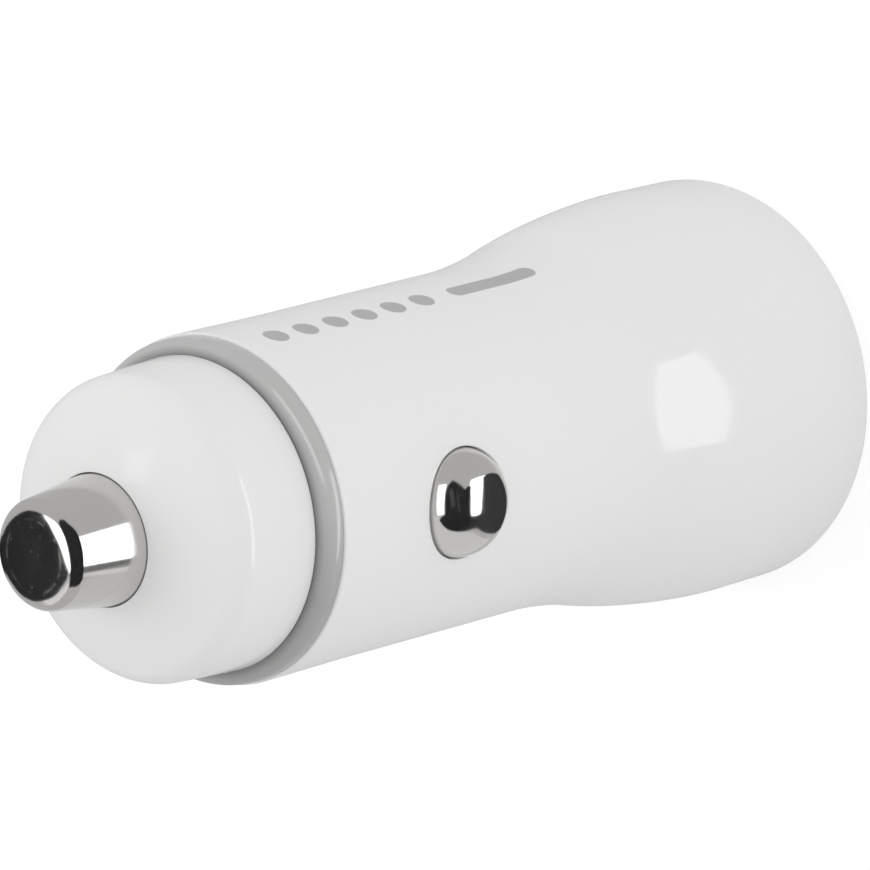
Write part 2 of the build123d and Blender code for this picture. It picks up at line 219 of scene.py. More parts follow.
def box_mm(node: str) -> tuple[Vector, Vector]:
    """Give the lowest and the highest corner of a node, in millimetres."""
    low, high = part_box(node)
    return low / MM, high / MM


def place_mesh(mesh: BMesh, name: str, material: Material) -> Object:
    """Turn a mesh into an object.

    Args:
        mesh: The mesh, in metres, which is freed.
        name: Name of the object.
        material: Its finish.

    Returns:
        The linked object, at the origin.
    """
    data = bpy.data.meshes.new(name)
    mesh.to_mesh(data)
    mesh.free()
    data.materials.append(material)
    thing = bpy.data.objects.new(name, data)
    bpy.context.scene.collection.objects.link(thing)
    return thing


def make_piece(mesh: BMesh, name: str, material: Material, body: str, node: str) -> Object:
    """Put a smooth piece with crisp edges in a node's place.

    Args:
        mesh: The mesh, in metres, which is freed.
        name: Name of the piece.
        material: Its finish.
        body: Body that it moves with.
        node: Node that it stands for.

    Returns:
        The finished piece.
    """
    for face in mesh.faces:
        face.smooth = True
    for edge in mesh.edges:
        edge.smooth = edge.calc_face_angle(0.0) < SHARP_ANGLE
    piece = place_mesh(mesh, name, material)
    weighting = piece.modifiers.new("even_shading", "WEIGHTED_NORMAL")
    weighting.keep_sharp = True
    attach(piece, body)
    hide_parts(node)
    LOG.info("made %s with %d faces", name, len(piece.data.polygons))
    return piece


class Nodes:
    """A node tree with short ways of adding to it."""

    def __init__(self, tree: NodeTree) -> None:
        """Keep the tree."""
        self.tree = tree

    def add(self, kind: str, **settings: object) -> Node:
        """Add a node of a kind, with some of its properties set."""
        node = self.tree.nodes.new(kind)
        for key, value in settings.items():
            setattr(node, key, value)
        return node

    def put(self, value: Value, into: NodeSocket) -> None:
        """Feed a socket with a value or with another socket."""
        if isinstance(value, NodeSocket):
            self.tree.links.new(value, into)
        else:
            into.default_value = value

    def feed(self, kind: str, *values: Value, **settings: object) -> NodeSocket:
        """Add a node and feed it.

        Args:
            kind: The node's type.
            *values: What its first sockets take, in order.
            **settings: Properties of the node.

        Returns:
            The node's first output.
        """
        node = self.add(kind, **settings)
        for socket, value in zip(node.inputs, values):
            self.put(value, socket)
        return node.outputs[0]

    def math(self, operation: str, first: Value, second: Value = 0.0) -> NodeSocket:
        """Work out a number from one or two others."""
        return self.feed("ShaderNodeMath", first, second, operation=operation)

    def rays(self, *kinds: str) -> NodeSocket:
        """Give 1 for some kinds of ray, by their names in Light Path, and 0 for the rest."""
        path = self.add("ShaderNodeLightPath")
        total = path.outputs[kinds[0]]
        for kind in kinds[1:]:
            total = self.math("MAXIMUM", total, path.outputs[kind])
        return total

    def mirror_view(self) -> NodeSocket:
        """Give 1 for what a mirror shows and 0 for what lights a dull surface."""
        path = self.add("ShaderNodeLightPath")
        fresh = self.math("LESS_THAN", path.outputs["Diffuse Depth"], 0.5)
        return self.math("MULTIPLY", path.outputs["Is Glossy Ray"], fresh)

    def choose(self, share: NodeSocket, one: NodeSocket, two: NodeSocket) -> NodeSocket:
        """Mix two shaders, with a share of the second."""
        return self.feed("ShaderNodeMixShader", share, one, two)


class Shader(Nodes):
    """A builder for one procedural material on Object coordinates in millimetres."""

    def __init__(self, name: str) -> None:
        """Start a material under a name."""
        self.material = bpy.data.materials.new(name)
        self.material.use_nodes = True
        super().__init__(self.material.node_tree)
        self.surface = self.tree.nodes["Principled BSDF"]
        self.place = self.add("ShaderNodeTexCoord").outputs["Object"]
        self.place = self.stretched((1 / MM, 1 / MM, 1 / MM))

    def spread(self, value: Value, low: float, high: float, start: float, end: float) -> NodeSocket:
        """Map a number from one range to another, without leaving the second.

        Args:
            value: The number.
            low: Where the first range starts.
            high: Where the first range ends.
            start: Where the second range starts.
            end: Where the second range ends.

        Returns:
            The result's socket.
        """
        return self.feed("ShaderNodeMapRange", value, low, high, start, end)

    def within(self, pattern: NodeSocket, ends: tuple[float, float]) -> NodeSocket:
        """Map a noise pattern to a range."""
        return self.spread(pattern, *NOISE_RANGE, *ends)

    def parts(self) -> tuple[NodeSocket, ...]:
        """Give X, Y and Z of the place on the object."""
        node = self.add("ShaderNodeSeparateXYZ")
        self.put(self.place, node.inputs[0])
        return tuple(node.outputs)

    def length(self, one: Value, two: Value) -> NodeSocket:
        """Give the length of a step whose two legs are known."""
        squares = self.math("ADD", self.math("MULTIPLY", one, one), self.math("MULTIPLY", two, two))
        return self.math("SQRT", squares)

    def between(self, value: Value, low: float, high: float) -> NodeSocket:
        """Give 1 between two numbers and 0 outside them."""
        above = self.math("GREATER_THAN", value, low)
        return self.math("MULTIPLY", above, self.math("LESS_THAN", value, high))

    def stretched(self, scale: tuple[float, float, float]) -> NodeSocket:
        """Give the place on the object, scaled on X, Y and Z."""
        return self.feed("ShaderNodeVectorMath", self.place, scale, operation="MULTIPLY")

    def noise(self, scale: float, detail: float, place: Optional[NodeSocket] = None) -> NodeSocket:
        """Add a noise pattern.

        Args:
            scale: Features to a millimetre.
            detail: Number of finer layers.
            place: Where it is read, the object's own place if not given.

        Returns:
            The pattern's socket, from 0 to 1.
        """
        node = self.add("ShaderNodeTexNoise")
        node.inputs["Scale"].default_value = scale
        node.inputs["Detail"].default_value = detail
        self.put(place or self.place, node.inputs["Vector"])
        return node.outputs["Fac"]

    def blend(self, share: NodeSocket, low: Value, high: Value) -> NodeSocket:
        """Blend two colours.

        Args:
            share: Share of the second colour.
            low: The first colour, or its socket.
            high: The second colour, or its socket.

        Returns:
            The colour's socket.
        """
        node = self.add("ShaderNodeMix", data_type="RGBA")
        self.put(share, node.inputs["Factor"])
        for key, value in (("A", low), ("B", high)):
            plain = not isinstance(value, NodeSocket)
            self.put((*value, 1) if plain else value, node.inputs[key])
        return node.outputs["Result"]

    def drifting(self, pattern: NodeSocket, colour: Colour, cloud: float) -> NodeSocket:
        """Let a colour drift to both sides by a share, as a pattern leads it."""
        return self.blend(pattern, shade(colour, 1 - cloud), shade(colour, 1 + cloud))

    def finish(self, colour: NodeSocket, rough: NodeSocket, pattern: NodeSocket, depth: float) -> Material:
        """Dress the surface.

        Args:
            colour: Its colour's socket.
            rough: Its roughness's socket.
            pattern: The pattern that raises it.
            depth: Depth of the pattern, in millimetres.

        Returns:
            The finished material.
        """
        bump = self.add("ShaderNodeBump")
        bump.inputs["Distance"].default_value = depth * MM
        self.put(pattern, bump.inputs["Height"])
        sockets = {"Base Color": colour, "Roughness": rough, "Normal": bump.outputs["Normal"]}
        for key, value in sockets.items():
            self.put(value, self.surface.inputs[key])
        return self.material


def shade(colour: Sequence[float], factor: float) -> Colour:
    """Make a colour lighter or darker by a factor."""
    return tuple(min(1.0, part * factor) for part in colour)


@dataclass(frozen=True)
class PrintBand:
    """A plain printed row of dots and a bar along the barrel, in millimetres.

    Attributes:
        bearing: Angle of the row round the axis from X, in degrees.
        radius: Radius of the surface that it is printed on.
        dots_from: Height of the lowest dot's cell.
        dots_to: Height where the last dot's cell ends.
        pitch: Distance from dot to dot.
        dot_radius: Radius of a dot.
        bar_from: Height where the bar starts.
        bar_to: Height where the bar ends.
        bar_half_width: Half of the bar's width.
        edge: Width of the soft edge of the ink.
        ink: Colour of the ink.
        ink_roughness: What the ink adds to the roughness.
    """

    bearing: float = 77.0
    radius: float = 10.35
    dots_from: float = 28.6
    dots_to: float = 43.6
    pitch: float = 2.5
    dot_radius: float = 0.75
    bar_from: float = 20.5
    bar_to: float = 26.8
    bar_half_width: float = 0.55
    edge: float = 0.08
    ink: Colour = (0.42, 0.42, 0.43)
    ink_roughness: float = 0.15

    def mask(self, shader: Shader) -> NodeSocket:
        """Work out where the ink is.

        Args:
            shader: The material that carries the print.

        Returns:
            A socket that is 1 on the ink and 0 beside it.
        """
        x, y, along = shader.parts()
        turn = shader.math("ARCTAN2", y, x)
        across = shader.math("MULTIPLY", shader.math("SUBTRACT", turn, radians(self.bearing)), self.radius)
        cell = shader.math("FLOORED_MODULO", shader.math("SUBTRACT", along, self.dots_from), self.pitch)
        from_dot = shader.length(across, shader.math("SUBTRACT", cell, self.pitch / 2))
        dots = shader.math(
            "MULTIPLY",
            shader.spread(from_dot, self.dot_radius, self.dot_radius + self.edge, 1, 0),
            shader.between(along, self.dots_from, self.dots_to),
        )
        bar_middle = (self.bar_from + self.bar_to) / 2
        bar_half = (self.bar_to - self.bar_from) / 2
        from_middle = shader.math("ABSOLUTE", shader.math("SUBTRACT", along, bar_middle))
        past = shader.math("MAXIMUM", shader.math("SUBTRACT", from_middle, bar_half), 0.0)
        from_bar = shader.length(across, past)
        bar = shader.spread(from_bar, self.bar_half_width, self.bar_half_width + self.edge, 1, 0)
        return shader.math("MAXIMUM", dots, bar)


@dataclass(frozen=True)
class Moulding:
    """Moulded or coated surface, satin with a fine grain or polished with a faint ripple.

    Attributes:
        name: Name of the material.
        colour: Its colour.
        cloud: Share by which the colour drifts.
        drift: Scale and detail of the colour's drift.
        roughness: Lowest and highest roughness.
        sheen: Scale and detail of the roughness.
        grain: Scale and detail of the grain or ripple.
        depth: Depth of the grain or ripple, in millimetres.
        band: The print on it, if any.
    """

    name: str
    colour: Colour
    cloud: float = 0.06
    drift: tuple[float, float] = (0.6, 3)
    roughness: tuple[float, float] = (0.4, 0.6)
    sheen: tuple[float, float] = (6.0, 2)
    grain: tuple[float, float] = (6.0, 2)
    depth: float = 0.004
    band: Optional[PrintBand] = None

    def material(self) -> Material:
        """Build the material."""
        shader = Shader(self.name)
        colour = shader.drifting(shader.noise(*self.drift), self.colour, self.cloud)
        rough = shader.within(shader.noise(*self.sheen), self.roughness)
        if self.band:
            mask = self.band.mask(shader)
            colour = shader.blend(mask, colour, self.band.ink)
            rough = shader.math("ADD", rough, shader.math("MULTIPLY", mask, self.band.ink_roughness))
        return shader.finish(colour, rough, shader.noise(*self.grain), self.depth)


@dataclass(frozen=True)
class TrimPaintWithPaintedShade:
    """Glossy grey paint with painted shade: darker in the crease round the nose and on its low side.

    Attributes:
        name: Name of the material.
        colour: Its colour.
        drift: Scale and detail of the colour's drift.
        drift_share: Lowest and highest share of the colour that the drift leaves.
        crease: Radii between which the painted shade of the crease fades out, in millimetres.
        painted_crease_shade: Share of the colour that is left in the crease, as painted shade.
        painted_shade_side: Direction across the axis of the side that lies low, which gets painted shade.
        painted_shade_range: Cosines from that direction between which the painted shade on the low side comes
            in.
        painted_shade_side_share: How near the paint comes to its full colour there, as a share; the rest is
            painted shade.
        roughness: Lowest and highest roughness.
        depth: Depth of the paint's ripple, in millimetres.
    """

    name: str = "grey_trim"
    colour: Colour = (0.48, 0.48, 0.475)
    drift: tuple[float, float] = (0.5, 3)
    drift_share: tuple[float, float] = (0.97, 1)
    crease: tuple[float, float] = (9.1, 9.72)
    painted_crease_shade: float = 0.45
    painted_shade_side: tuple[float, float] = (0.1445, -0.9895)
    painted_shade_range: tuple[float, float] = (0, 0.5)
    painted_shade_side_share: float = 0.64
    roughness: tuple[float, float] = (0.1, 0.16)
    depth: float = 0.0006

    def material(self) -> Material:
        """Build the material."""
        shader = Shader(self.name)
        x, y, _ = shader.parts()
        drift = shader.noise(*self.drift)
        radius = shader.length(x, y)
        # Painted shade on the low side of the ring: the cosine of each point's direction from that side.
        beside, below = (shader.math("MULTIPLY", part, share) for part, share in zip((x, y), self.painted_shade_side))
        low = shader.math("DIVIDE", shader.math("ADD", beside, below), radius)
        # Painted shade: the paint darkens towards the crease round the nose.
        share = shader.spread(radius, *self.crease, 0, 1)
        for part in (
            shader.spread(low, *self.painted_shade_range, 1, self.painted_shade_side_share),
            shader.within(drift, self.drift_share),
        ):
            share = shader.math("MULTIPLY", share, part)
        colour = shader.blend(share, shade(self.colour, self.painted_crease_shade), self.colour)
        return shader.finish(colour, shader.within(drift, self.roughness), drift, self.depth)


@dataclass(frozen=True)
class Metal:
    """Bare or plated metal with fine drawn lines.

    Attributes:
        name: Name of the material.
        colour: Its colour.
        cloud: Share by which the colour drifts.
        roughness: Lowest and highest roughness.
        lines: Stretch of the pattern on X, Y and Z, in features to a millimetre.
        depth: Depth of the lines, in millimetres.
        metallic: Share of metal in the surface.
        wear: Radius of a ring of rubbed spots round the axis, in millimetres, 0 for none.
        wear_edge: Distances from that ring between which the rubbing fades out, in millimetres.
        wear_strength: How strong the rubbing is.
        wear_noise: Scale and detail of a pattern that breaks the ring up.
        wear_breaks: Values of that pattern between which the ring comes in.
        dust: Specks of dust to a millimetre, where there is a worn ring.
        dust_radius: Radius round the axis within which the dust lies, in millimetres.
        dust_edge: Distances from a speck's middle, in cells, between which it fades out.
        dust_strength: How strong the specks are.
        spot_change: What a full spot adds to the roughness and takes from the metal.
    """

    name: str
    colour: Colour
    cloud: float = 0.04
    roughness: tuple[float, float] = (0.2, 0.35)
    lines: tuple[float, float, float] = (3.0, 3.0, 3.0)
    depth: float = 0.0006
    metallic: float = 1.0
    wear: float = 0.0
    wear_edge: tuple[float, float] = (0.01, 0.12)
    wear_strength: float = 0.3
    wear_noise: tuple[float, float] = (1.6, 5)
    wear_breaks: tuple[float, float] = (0.46, 0.64)
    dust: float = 2.0
    dust_radius: float = 2.5
    dust_edge: tuple[float, float] = (0.06, 0.12)
    dust_strength: float = 0.45
    spot_change: float = 0.3

    def material(self) -> Material:
        """Build the material."""
        shader = Shader(self.name)
        lines = shader.noise(1.0, detail=4, place=shader.stretched(self.lines))
        rough = shader.within(lines, self.roughness)
        metal: Value = self.metallic
        for spots in self._spots(shader):
            change = shader.math("MULTIPLY", spots, self.spot_change)
            metal = shader.math("SUBTRACT", metal, change)
            rough = shader.math("ADD", rough, change)
        shader.put(metal, shader.surface.inputs["Metallic"])
        return shader.finish(shader.drifting(lines, self.colour, self.cloud), rough, lines, self.depth)

    def _spots(self, shader: Shader) -> Iterator[NodeSocket]:
        """Work out where the dust and the rubbed spots are.

        Args:
            shader: The material that carries them.

        Yields:
            A socket for each kind that is highest on its spots and 0 beside them.
        """
        if not self.wear:
            return
        x, y, _ = shader.parts()
        radius = shader.length(x, y)
        cells = shader.add("ShaderNodeTexVoronoi")
        cells.inputs["Scale"].default_value = self.dust
        shader.put(shader.place, cells.inputs["Vector"])
        specks = shader.spread(cells.outputs["Distance"], *self.dust_edge, self.dust_strength, 0)
        yield shader.math("MULTIPLY", specks, shader.math("LESS_THAN", radius, self.dust_radius))
        from_ring = shader.math("ABSOLUTE", shader.math("SUBTRACT", radius, self.wear))
        rubbed = shader.spread(from_ring, *self.wear_edge, self.wear_strength, 0)
        broken = shader.spread(shader.noise(*self.wear_noise), *self.wear_breaks, 0, 1)
        yield shader.math("MULTIPLY", rubbed, broken)


@dataclass(frozen=True)
class CircuitBoard:
    """Green lacquered board with the weave of its cloth and fine copper under the lacquer.

    Attributes:
        name: Name of the material.
        lacquer: Colour of the lacquer.
        copper: Colour over the copper.
        lighter: How much lighter every second field of the lacquer is.
        fields: Fields of the lacquer to a millimetre.
        track: Width of the copper between the fields, as a share.
        thread: Threads of the cloth to a millimetre.
        roughness: Lowest and highest roughness.
        depth: Depth of the cloth, in millimetres.
    """

    name: str = "board_lacquer"
    lacquer: Colour = (0.016, 0.11, 0.045)
    copper: Colour = (0.035, 0.20, 0.075)
    lighter: float = 1.2
    fields: float = 0.3
    track: float = 0.06
    thread: float = 2.5
    roughness: tuple[float, float] = (0.25, 0.4)
    depth: float = 0.01

    def material(self) -> Material:
        """Build the material."""
        shader = Shader(self.name)
        tracks = shader.add("ShaderNodeTexBrick", offset=0.5)
        shader.put(shader.stretched((self.fields,) * 3), tracks.inputs["Vector"])
        colours = {"Color1": self.lacquer, "Color2": shade(self.lacquer, self.lighter), "Mortar": self.copper}
        for key, colour in colours.items():
            tracks.inputs[key].default_value = (*colour, 1)
        tracks.inputs["Mortar Size"].default_value = self.track
        weave = shader.noise(1.0, detail=2, place=shader.stretched((self.thread,) * 3))
        rough = shader.within(weave, self.roughness)
        return shader.finish(tracks.outputs["Color"], rough, weave, self.depth)


class Finishes:
    """The finishes of the plug, each made once."""

    def __init__(self) -> None:
        """Make every material."""
        gloss = dict(
            colour=(0.83, 0.83, 0.825),
            cloud=0.012,
            drift=(0.09, 2),
            roughness=(0.06, 0.11),
            sheen=(0.5, 4),
            grain=(0.35, 1),
            depth=0.0006,
        )
        chrome = dict(
            colour=(0.655, 0.645, 0.634),
            cloud=0.015,
            roughness=(0.08, 0.13),
            lines=(0.8, 0.8, 3.0),
            depth=0.00004,
            metallic=0.97,
        )
        finishes = {
            "housing": Moulding("white_gloss_printed", band=PrintBand(), **gloss),
            "nose": Moulding("white_gloss", **gloss),
            "ring": TrimPaintWithPaintedShade(),
            "chrome": Metal("contact_chrome", **chrome),
            "tip": Metal("contact_chrome_tip", wear=2.08, **chrome),
            "spring": Metal("spring_steel", (0.55, 0.55, 0.56), lines=(2.0, 2.0, 2.0)),
            "brass": Metal("terminal_brass", (0.72, 0.53, 0.24)),
            "shell": Metal("socket_steel", (0.66, 0.66, 0.67), roughness=(0.18, 0.32), lines=(6.0, 6.0, 0.4)),
            "gold": Metal("socket_gold", (0.86, 0.63, 0.25), roughness=(0.15, 0.28), lines=(5.0, 5.0, 0.4)),
            "can": Metal("can_sleeve", (0.62, 0.62, 0.64), lines=(0.5, 6.0, 6.0)),
            "winding": Metal("enamelled_copper", (0.62, 0.25, 0.09), lines=(7.0, 0.4, 0.4), depth=0.03),
            "face": Moulding("face_white", (0.80, 0.80, 0.795), cloud=0.02, roughness=(0.3, 0.45)),
            "tongue": Moulding("socket_plastic", (0.78, 0.78, 0.76), cloud=0.03),
            "ferrite": Moulding("ferrite", (0.045, 0.045, 0.05), roughness=(0.55, 0.8), depth=0.01),
            "block": Moulding("capacitor_block", (0.52, 0.33, 0.05)),
            "chip": Moulding("chip_black", (0.022, 0.022, 0.023), roughness=(0.45, 0.65)),
            "ceramic": Moulding("ceramic", (0.42, 0.30, 0.18)),
            "board": CircuitBoard(),
        }
        self._made = {key: finish.material() for key, finish in finishes.items()}

    def __getitem__(self, key: str) -> Material:
        """Give a material by its key."""
        return self._made[key]


class Part:
    """A sub-assembly of the plug."""

    def build(self, finishes: Finishes) -> None:
        """Make the pieces, or dress the nodes that stay.

        Args:
            finishes: The plug's materials.
        """
        raise NotImplementedError


@dataclass
class Housing(Part):
    """The moulding of barrel, flare and head, with its two side ports, in millimetres."""

    head_straight: float = 4.9
    flare_top: float = 23.35
    flare_bend_share: float = 0.41
    barrel_root_radius: float = 10.45
    barrel_radius: float = 10.25
    land_length: float = 6.4
    bore_radius: float = 8.75
    head_bore_radius: float = 11.4
    ledge_radius: float = 10.9
    ledge_height: float = 2.3
    rim_round: float = 0.4
    front_round: float = 0.15
    blend_round: float = 160.0
    groove_middle: float = 42.85
    groove_half: float = 0.55
    groove_depth: float = 0.2
    port_radius: float = 3.28
    port_round: float = 0.12
    port_columns: int = 14
    port_rows: int = 12
    port_half_height: float = 4.0
    rib_gap: float = 0.75
    rib_end: float = 1.75
    rib_top: float = 40.65
    rib_inner: float = 6.45

    def __post_init__(self) -> None:
        """Take the overall sizes from the frame."""
        _, high = box_mm("housing")
        self.head_radius = high.x
        self.barrel_top = high.z
        low, high = box_mm("side_contact_right")
        self.port_height = (low.z + high.z) / 2

    def build(self, finishes: Finishes) -> None:
        """Make the housing."""
        mesh = Outline(self._section()).turned()
        self._cut_rows(mesh)
        for facing in Facing:
            self._open_port(mesh, facing)
        self._raise_ribs(mesh)
        bmesh.ops.recalc_face_normals(mesh, faces=mesh.faces)
        make_piece(mesh, "housing_shell", finishes["housing"], "plug", "housing")

    def _section(self) -> list[Corner]:
        """Draw the wall's section.

        Returns:
            The corners, up the outside and down the inside.
        """
        rise = self.flare_top - self.head_straight
        width = self.head_radius - self.barrel_root_radius
        lean = atan2(width, rise)
        half_chord = hypot(width, rise) / 2
        lower = half_chord * (1 - self.flare_bend_share) / cos(lean)
        upper = half_chord * self.flare_bend_share / cos(lean)
        land_bottom = self.barrel_top - self.land_length
        return [
            Corner(self.head_radius, 0, self.rim_round, segments=6),
            Corner(self.head_radius, self.head_straight + lower, lower / tan(lean), segments=24),
            Corner(self.barrel_root_radius, self.flare_top - upper, upper / tan(lean), segments=20),
            Corner(self.barrel_root_radius, self.flare_top, self.blend_round, segments=4),
            Corner(self.barrel_radius, land_bottom),
            Corner(self.barrel_radius, self.barrel_top, self.front_round, segments=4),
            Corner(self.bore_radius, self.barrel_top),
            Corner(self.bore_radius, self.groove_middle + self.groove_half),
            Corner(self.bore_radius + self.groove_depth, self.groove_middle),
            Corner(self.bore_radius, self.groove_middle - self.groove_half),
            Corner(self.bore_radius, self.flare_top),
            Corner(self.ledge_radius, self.head_straight),
            Corner(self.ledge_radius, self.ledge_height),
            Corner(self.head_bore_radius, self.ledge_height),
            Corner(self.head_bore_radius, 0, self.rim_round / 2, segments=4),
        ]

    def _cut_rows(self, mesh: BMesh) -> None:
        """Cut the barrel into rows beside the ports and at the ribs' ends.

        Args:
            mesh: The turned wall.
        """
        row = 2 * self.port_half_height / self.port_rows
        first = self.port_height - self.port_half_height
        for height in [self.rib_top] + [first + row * count for count in range(self.port_rows + 1)]:
            bmesh.ops.bisect_plane(
                mesh,
                geom=mesh.verts[:] + mesh.edges[:] + mesh.faces[:],
                dist=WELD,
                plane_co=(0, 0, height * MM),
                plane_no=(0, 0, 1),
            )

    def _skin_radius(self, height: float) -> float:
        """Give the barrel's outer radius at a height beside the ports."""
        land_bottom = self.barrel_top - self.land_length
        share = (height - self.flare_top) / (land_bottom - self.flare_top)
        return self.barrel_root_radius + (self.barrel_radius - self.barrel_root_radius) * min(share, 1.0)

    def _open_port(self, mesh: BMesh, facing: Facing) -> None:
        """Open the round port on one side.

        Args:
            mesh: The turned wall.
            facing: The side.
        """
        rim, inner_rim = (self._open_skin(mesh, facing, outer) for outer in (True, False))
        bmesh.ops.bridge_loops(mesh, edges=rim + inner_rim)
        bmesh.ops.bevel(
            mesh,
            geom=[edge for edge in rim if edge.is_valid],
            offset=self.port_round * MM,
            offset_type="OFFSET",
            affect="EDGES",
            segments=3,
            profile=0.5,
            material=-1,
        )

    def _open_skin(self, mesh: BMesh, facing: Facing, outer: bool) -> list[BMEdge]:
        """Open the port in the outer or the inner skin of the wall.

        Args:
            mesh: The turned wall.
            facing: The side.
            outer: Whether it is the outer skin.

        Returns:
            The edges of the round opening.
        """
        middle_radius = (self.bore_radius + self.barrel_radius) / 2 * MM
        widest = self.port_columns * tau / TURN_STEPS

        def in_window(face: BMFace) -> bool:
            """Tell whether a face lies in the square that the port is cut from."""
            centre = face.calc_center_median()
            turn = abs(atan2(centre.y, facing.value * centre.x))
            off = abs(centre.z / MM - self.port_height)
            near = (hypot(centre.x, centre.y) > middle_radius) == outer
            return turn < widest and off < self.port_half_height and near

        window = [face for face in mesh.faces if in_window(face)]
        inside = set(window)
        square = [
            edge
            for edge in {edge for face in window for edge in face.edges}
            if any(face not in inside for face in edge.link_faces)
        ]
        bmesh.ops.delete(mesh, geom=window, context="FACES")
        ring = bmesh.ops.create_circle(
            mesh,
            segments=len(square),
            radius=self.port_radius * MM,
            matrix=Matrix.Translation((0, 0, self.port_height * MM)) @ Matrix.Rotation(pi / 2, 4, "Y"),
        )
        for point in ring["verts"]:
            point.co.x = facing.value * self._depth(point, outer)
        circle = list({edge for point in ring["verts"] for edge in point.link_edges})
        made = bmesh.ops.bridge_loops(mesh, edges=square + circle)
        known = set(square) | set(circle)
        spokes = list({edge for face in made["faces"] for edge in face.edges} - known)
        cut = bmesh.ops.subdivide_edges(mesh, edges=spokes, cuts=2, use_grid_fill=True)
        for item in cut["geom_inner"]:
            if isinstance(item, BMVert):
                item.co.x = facing.value * self._depth(item, outer)
        return circle

    def _depth(self, point: BMVert, outer: bool) -> float:
        """Give how far out along X the skin is at a point's Y and Z, in metres."""
        radius = self._skin_radius(point.co.z / MM) if outer else self.bore_radius
        return sqrt((radius * MM) ** 2 - point.co.y**2)

    def _raise_ribs(self, mesh: BMesh) -> None:
        """Raise the ribs that hold the board's edges from the bore.

        Args:
            mesh: The wall with its ports.
        """

        def on_rib(face: BMFace) -> bool:
            """Tell whether a face of the bore carries a rib."""
            centre = face.calc_center_median()
            inside = hypot(centre.x, centre.y) < (self.bore_radius + self.groove_depth) * MM
            across = self.rib_gap < abs(centre.x / MM) < self.rib_end
            along = self.flare_top < centre.z / MM < self.rib_top
            return inside and across and along

        feet = [face for face in mesh.faces if on_rib(face)]
        raised = bmesh.ops.extrude_face_region(mesh, geom=feet)
        bmesh.ops.delete(mesh, geom=feet, context="FACES")
        for item in raised["geom"]:
            if isinstance(item, BMVert):
                item.co.y = self.rib_inner * MM * (1 if item.co.y > 0 else -1)


@dataclass
class NoseCap(Part):
    """The domed cap on the front of the barrel, in millimetres."""

    base_radius: float = 9.2
    shoulder_radius: float = 8.85
    shoulder_round: float = 2.0
    dome_radius: float = 14.7
    dome_height: float = 8.05
    hole_radius: float = 3.845
    hole_round: float = 0.04
    lip: float = 2.1
    edge_round: float = 0.15
    spigot_radius: float = 8.7
    spigot_wall: float = 1.3
    roof_chamfer: float = 1.2
    bead_middle: float = 42.85
    bead_half: float = 0.5
    bead_height: float = 0.2

    def __post_init__(self) -> None:
        """Take the overall sizes from the frame."""
        self.spigot_bottom = box_mm("nose_cap")[0].z
        self.base = box_mm("trim_ring")[1].z
        self.top = self.base + self.dome_height

    def build(self, finishes: Finishes) -> None:
        """Make the nose cap."""
        mesh = Outline(self._section()).turned()
        make_piece(mesh, "nose_dome", finishes["nose"], "plug", "nose_cap")

    def _section(self) -> list[Corner]:
        """Draw the cap's section.

        Returns:
            The corners, from the hole over the dome and down to the spigot.
        """
        dome_centre = self.top - sqrt(self.dome_radius**2 - self.hole_radius**2)
        dome_edge = dome_centre + sqrt(self.dome_radius**2 - self.shoulder_radius**2)
        draft = atan2(self.base_radius - self.shoulder_radius, dome_edge - self.base)
        centre, meeting = self._shoulder(dome_centre, draft)
        start = asin(self.hole_radius / self.dome_radius) + 2 * self.hole_round / self.dome_radius
        dome = Corner.of_arc((0, dome_centre), self.dome_radius, start, meeting, segments=24)
        shoulder = Corner.of_arc(centre, self.shoulder_round, meeting, pi / 2 - draft, segments=16)
        edge_height = dome.height + (dome.radius - self.hole_radius) * tan(start)
        stop = self.top - self.lip
        spigot_inner = self.spigot_radius - self.spigot_wall
        return [
            Corner(self.hole_radius, edge_height, self.hole_round, segments=4),
            dome,
            shoulder,
            Corner(self.base_radius, self.base, self.edge_round, segments=4),
            Corner(self.spigot_radius, self.base),
            Corner(self.spigot_radius, self.bead_middle + self.bead_half),
            Corner(self.spigot_radius + self.bead_height, self.bead_middle),
            Corner(self.spigot_radius, self.bead_middle - self.bead_half),
            Corner(self.spigot_radius, self.spigot_bottom),
            Corner(spigot_inner, self.spigot_bottom),
            Corner(spigot_inner, stop - self.roof_chamfer),
            Corner(spigot_inner - self.roof_chamfer, stop),
            Corner(self.hole_radius, stop),
        ]

    def _shoulder(self, dome_centre: float, draft: float) -> tuple[tuple[float, float], float]:
        """Fit the shoulder's rounding between the dome and the drafted side.

        Args:
            dome_centre: Height of the dome's centre.
            draft: Lean of the side, in radians.

        Returns:
            The rounding's centre, and the angle from the axis where it meets the dome.
        """
        inset = self.shoulder_round / cos(draft)
        foot = self.base_radius - inset - (dome_centre - self.base) * tan(draft)
        reach = self.dome_radius - self.shoulder_round
        across = foot * sin(draft)
        height = sqrt(reach**2 - (foot * cos(draft)) ** 2) + across
        rise = height * cos(draft)
        centre = (foot - rise * tan(draft), dome_centre + rise)
        return centre, atan2(centre[0], rise)


@dataclass
class TrimRing(Part):
    """The grey ring between nose and barrel, in millimetres."""

    bore_radius: float = 8.75
    front_round: float = 0.75
    back_round: float = 0.08

    def build(self, finishes: Finishes) -> None:
        """Make the ring."""
        low, high = box_mm("trim_ring")
        section = [
            Corner(self.bore_radius, low.z),
            Corner(high.x, low.z, self.back_round, segments=3),
            Corner(high.x, high.z, self.front_round, segments=14),
            Corner(self.bore_radius, high.z),
        ]
        mesh = Outline(section).turned()
        make_piece(mesh, "trim_band", finishes["ring"], "plug", "trim_ring")


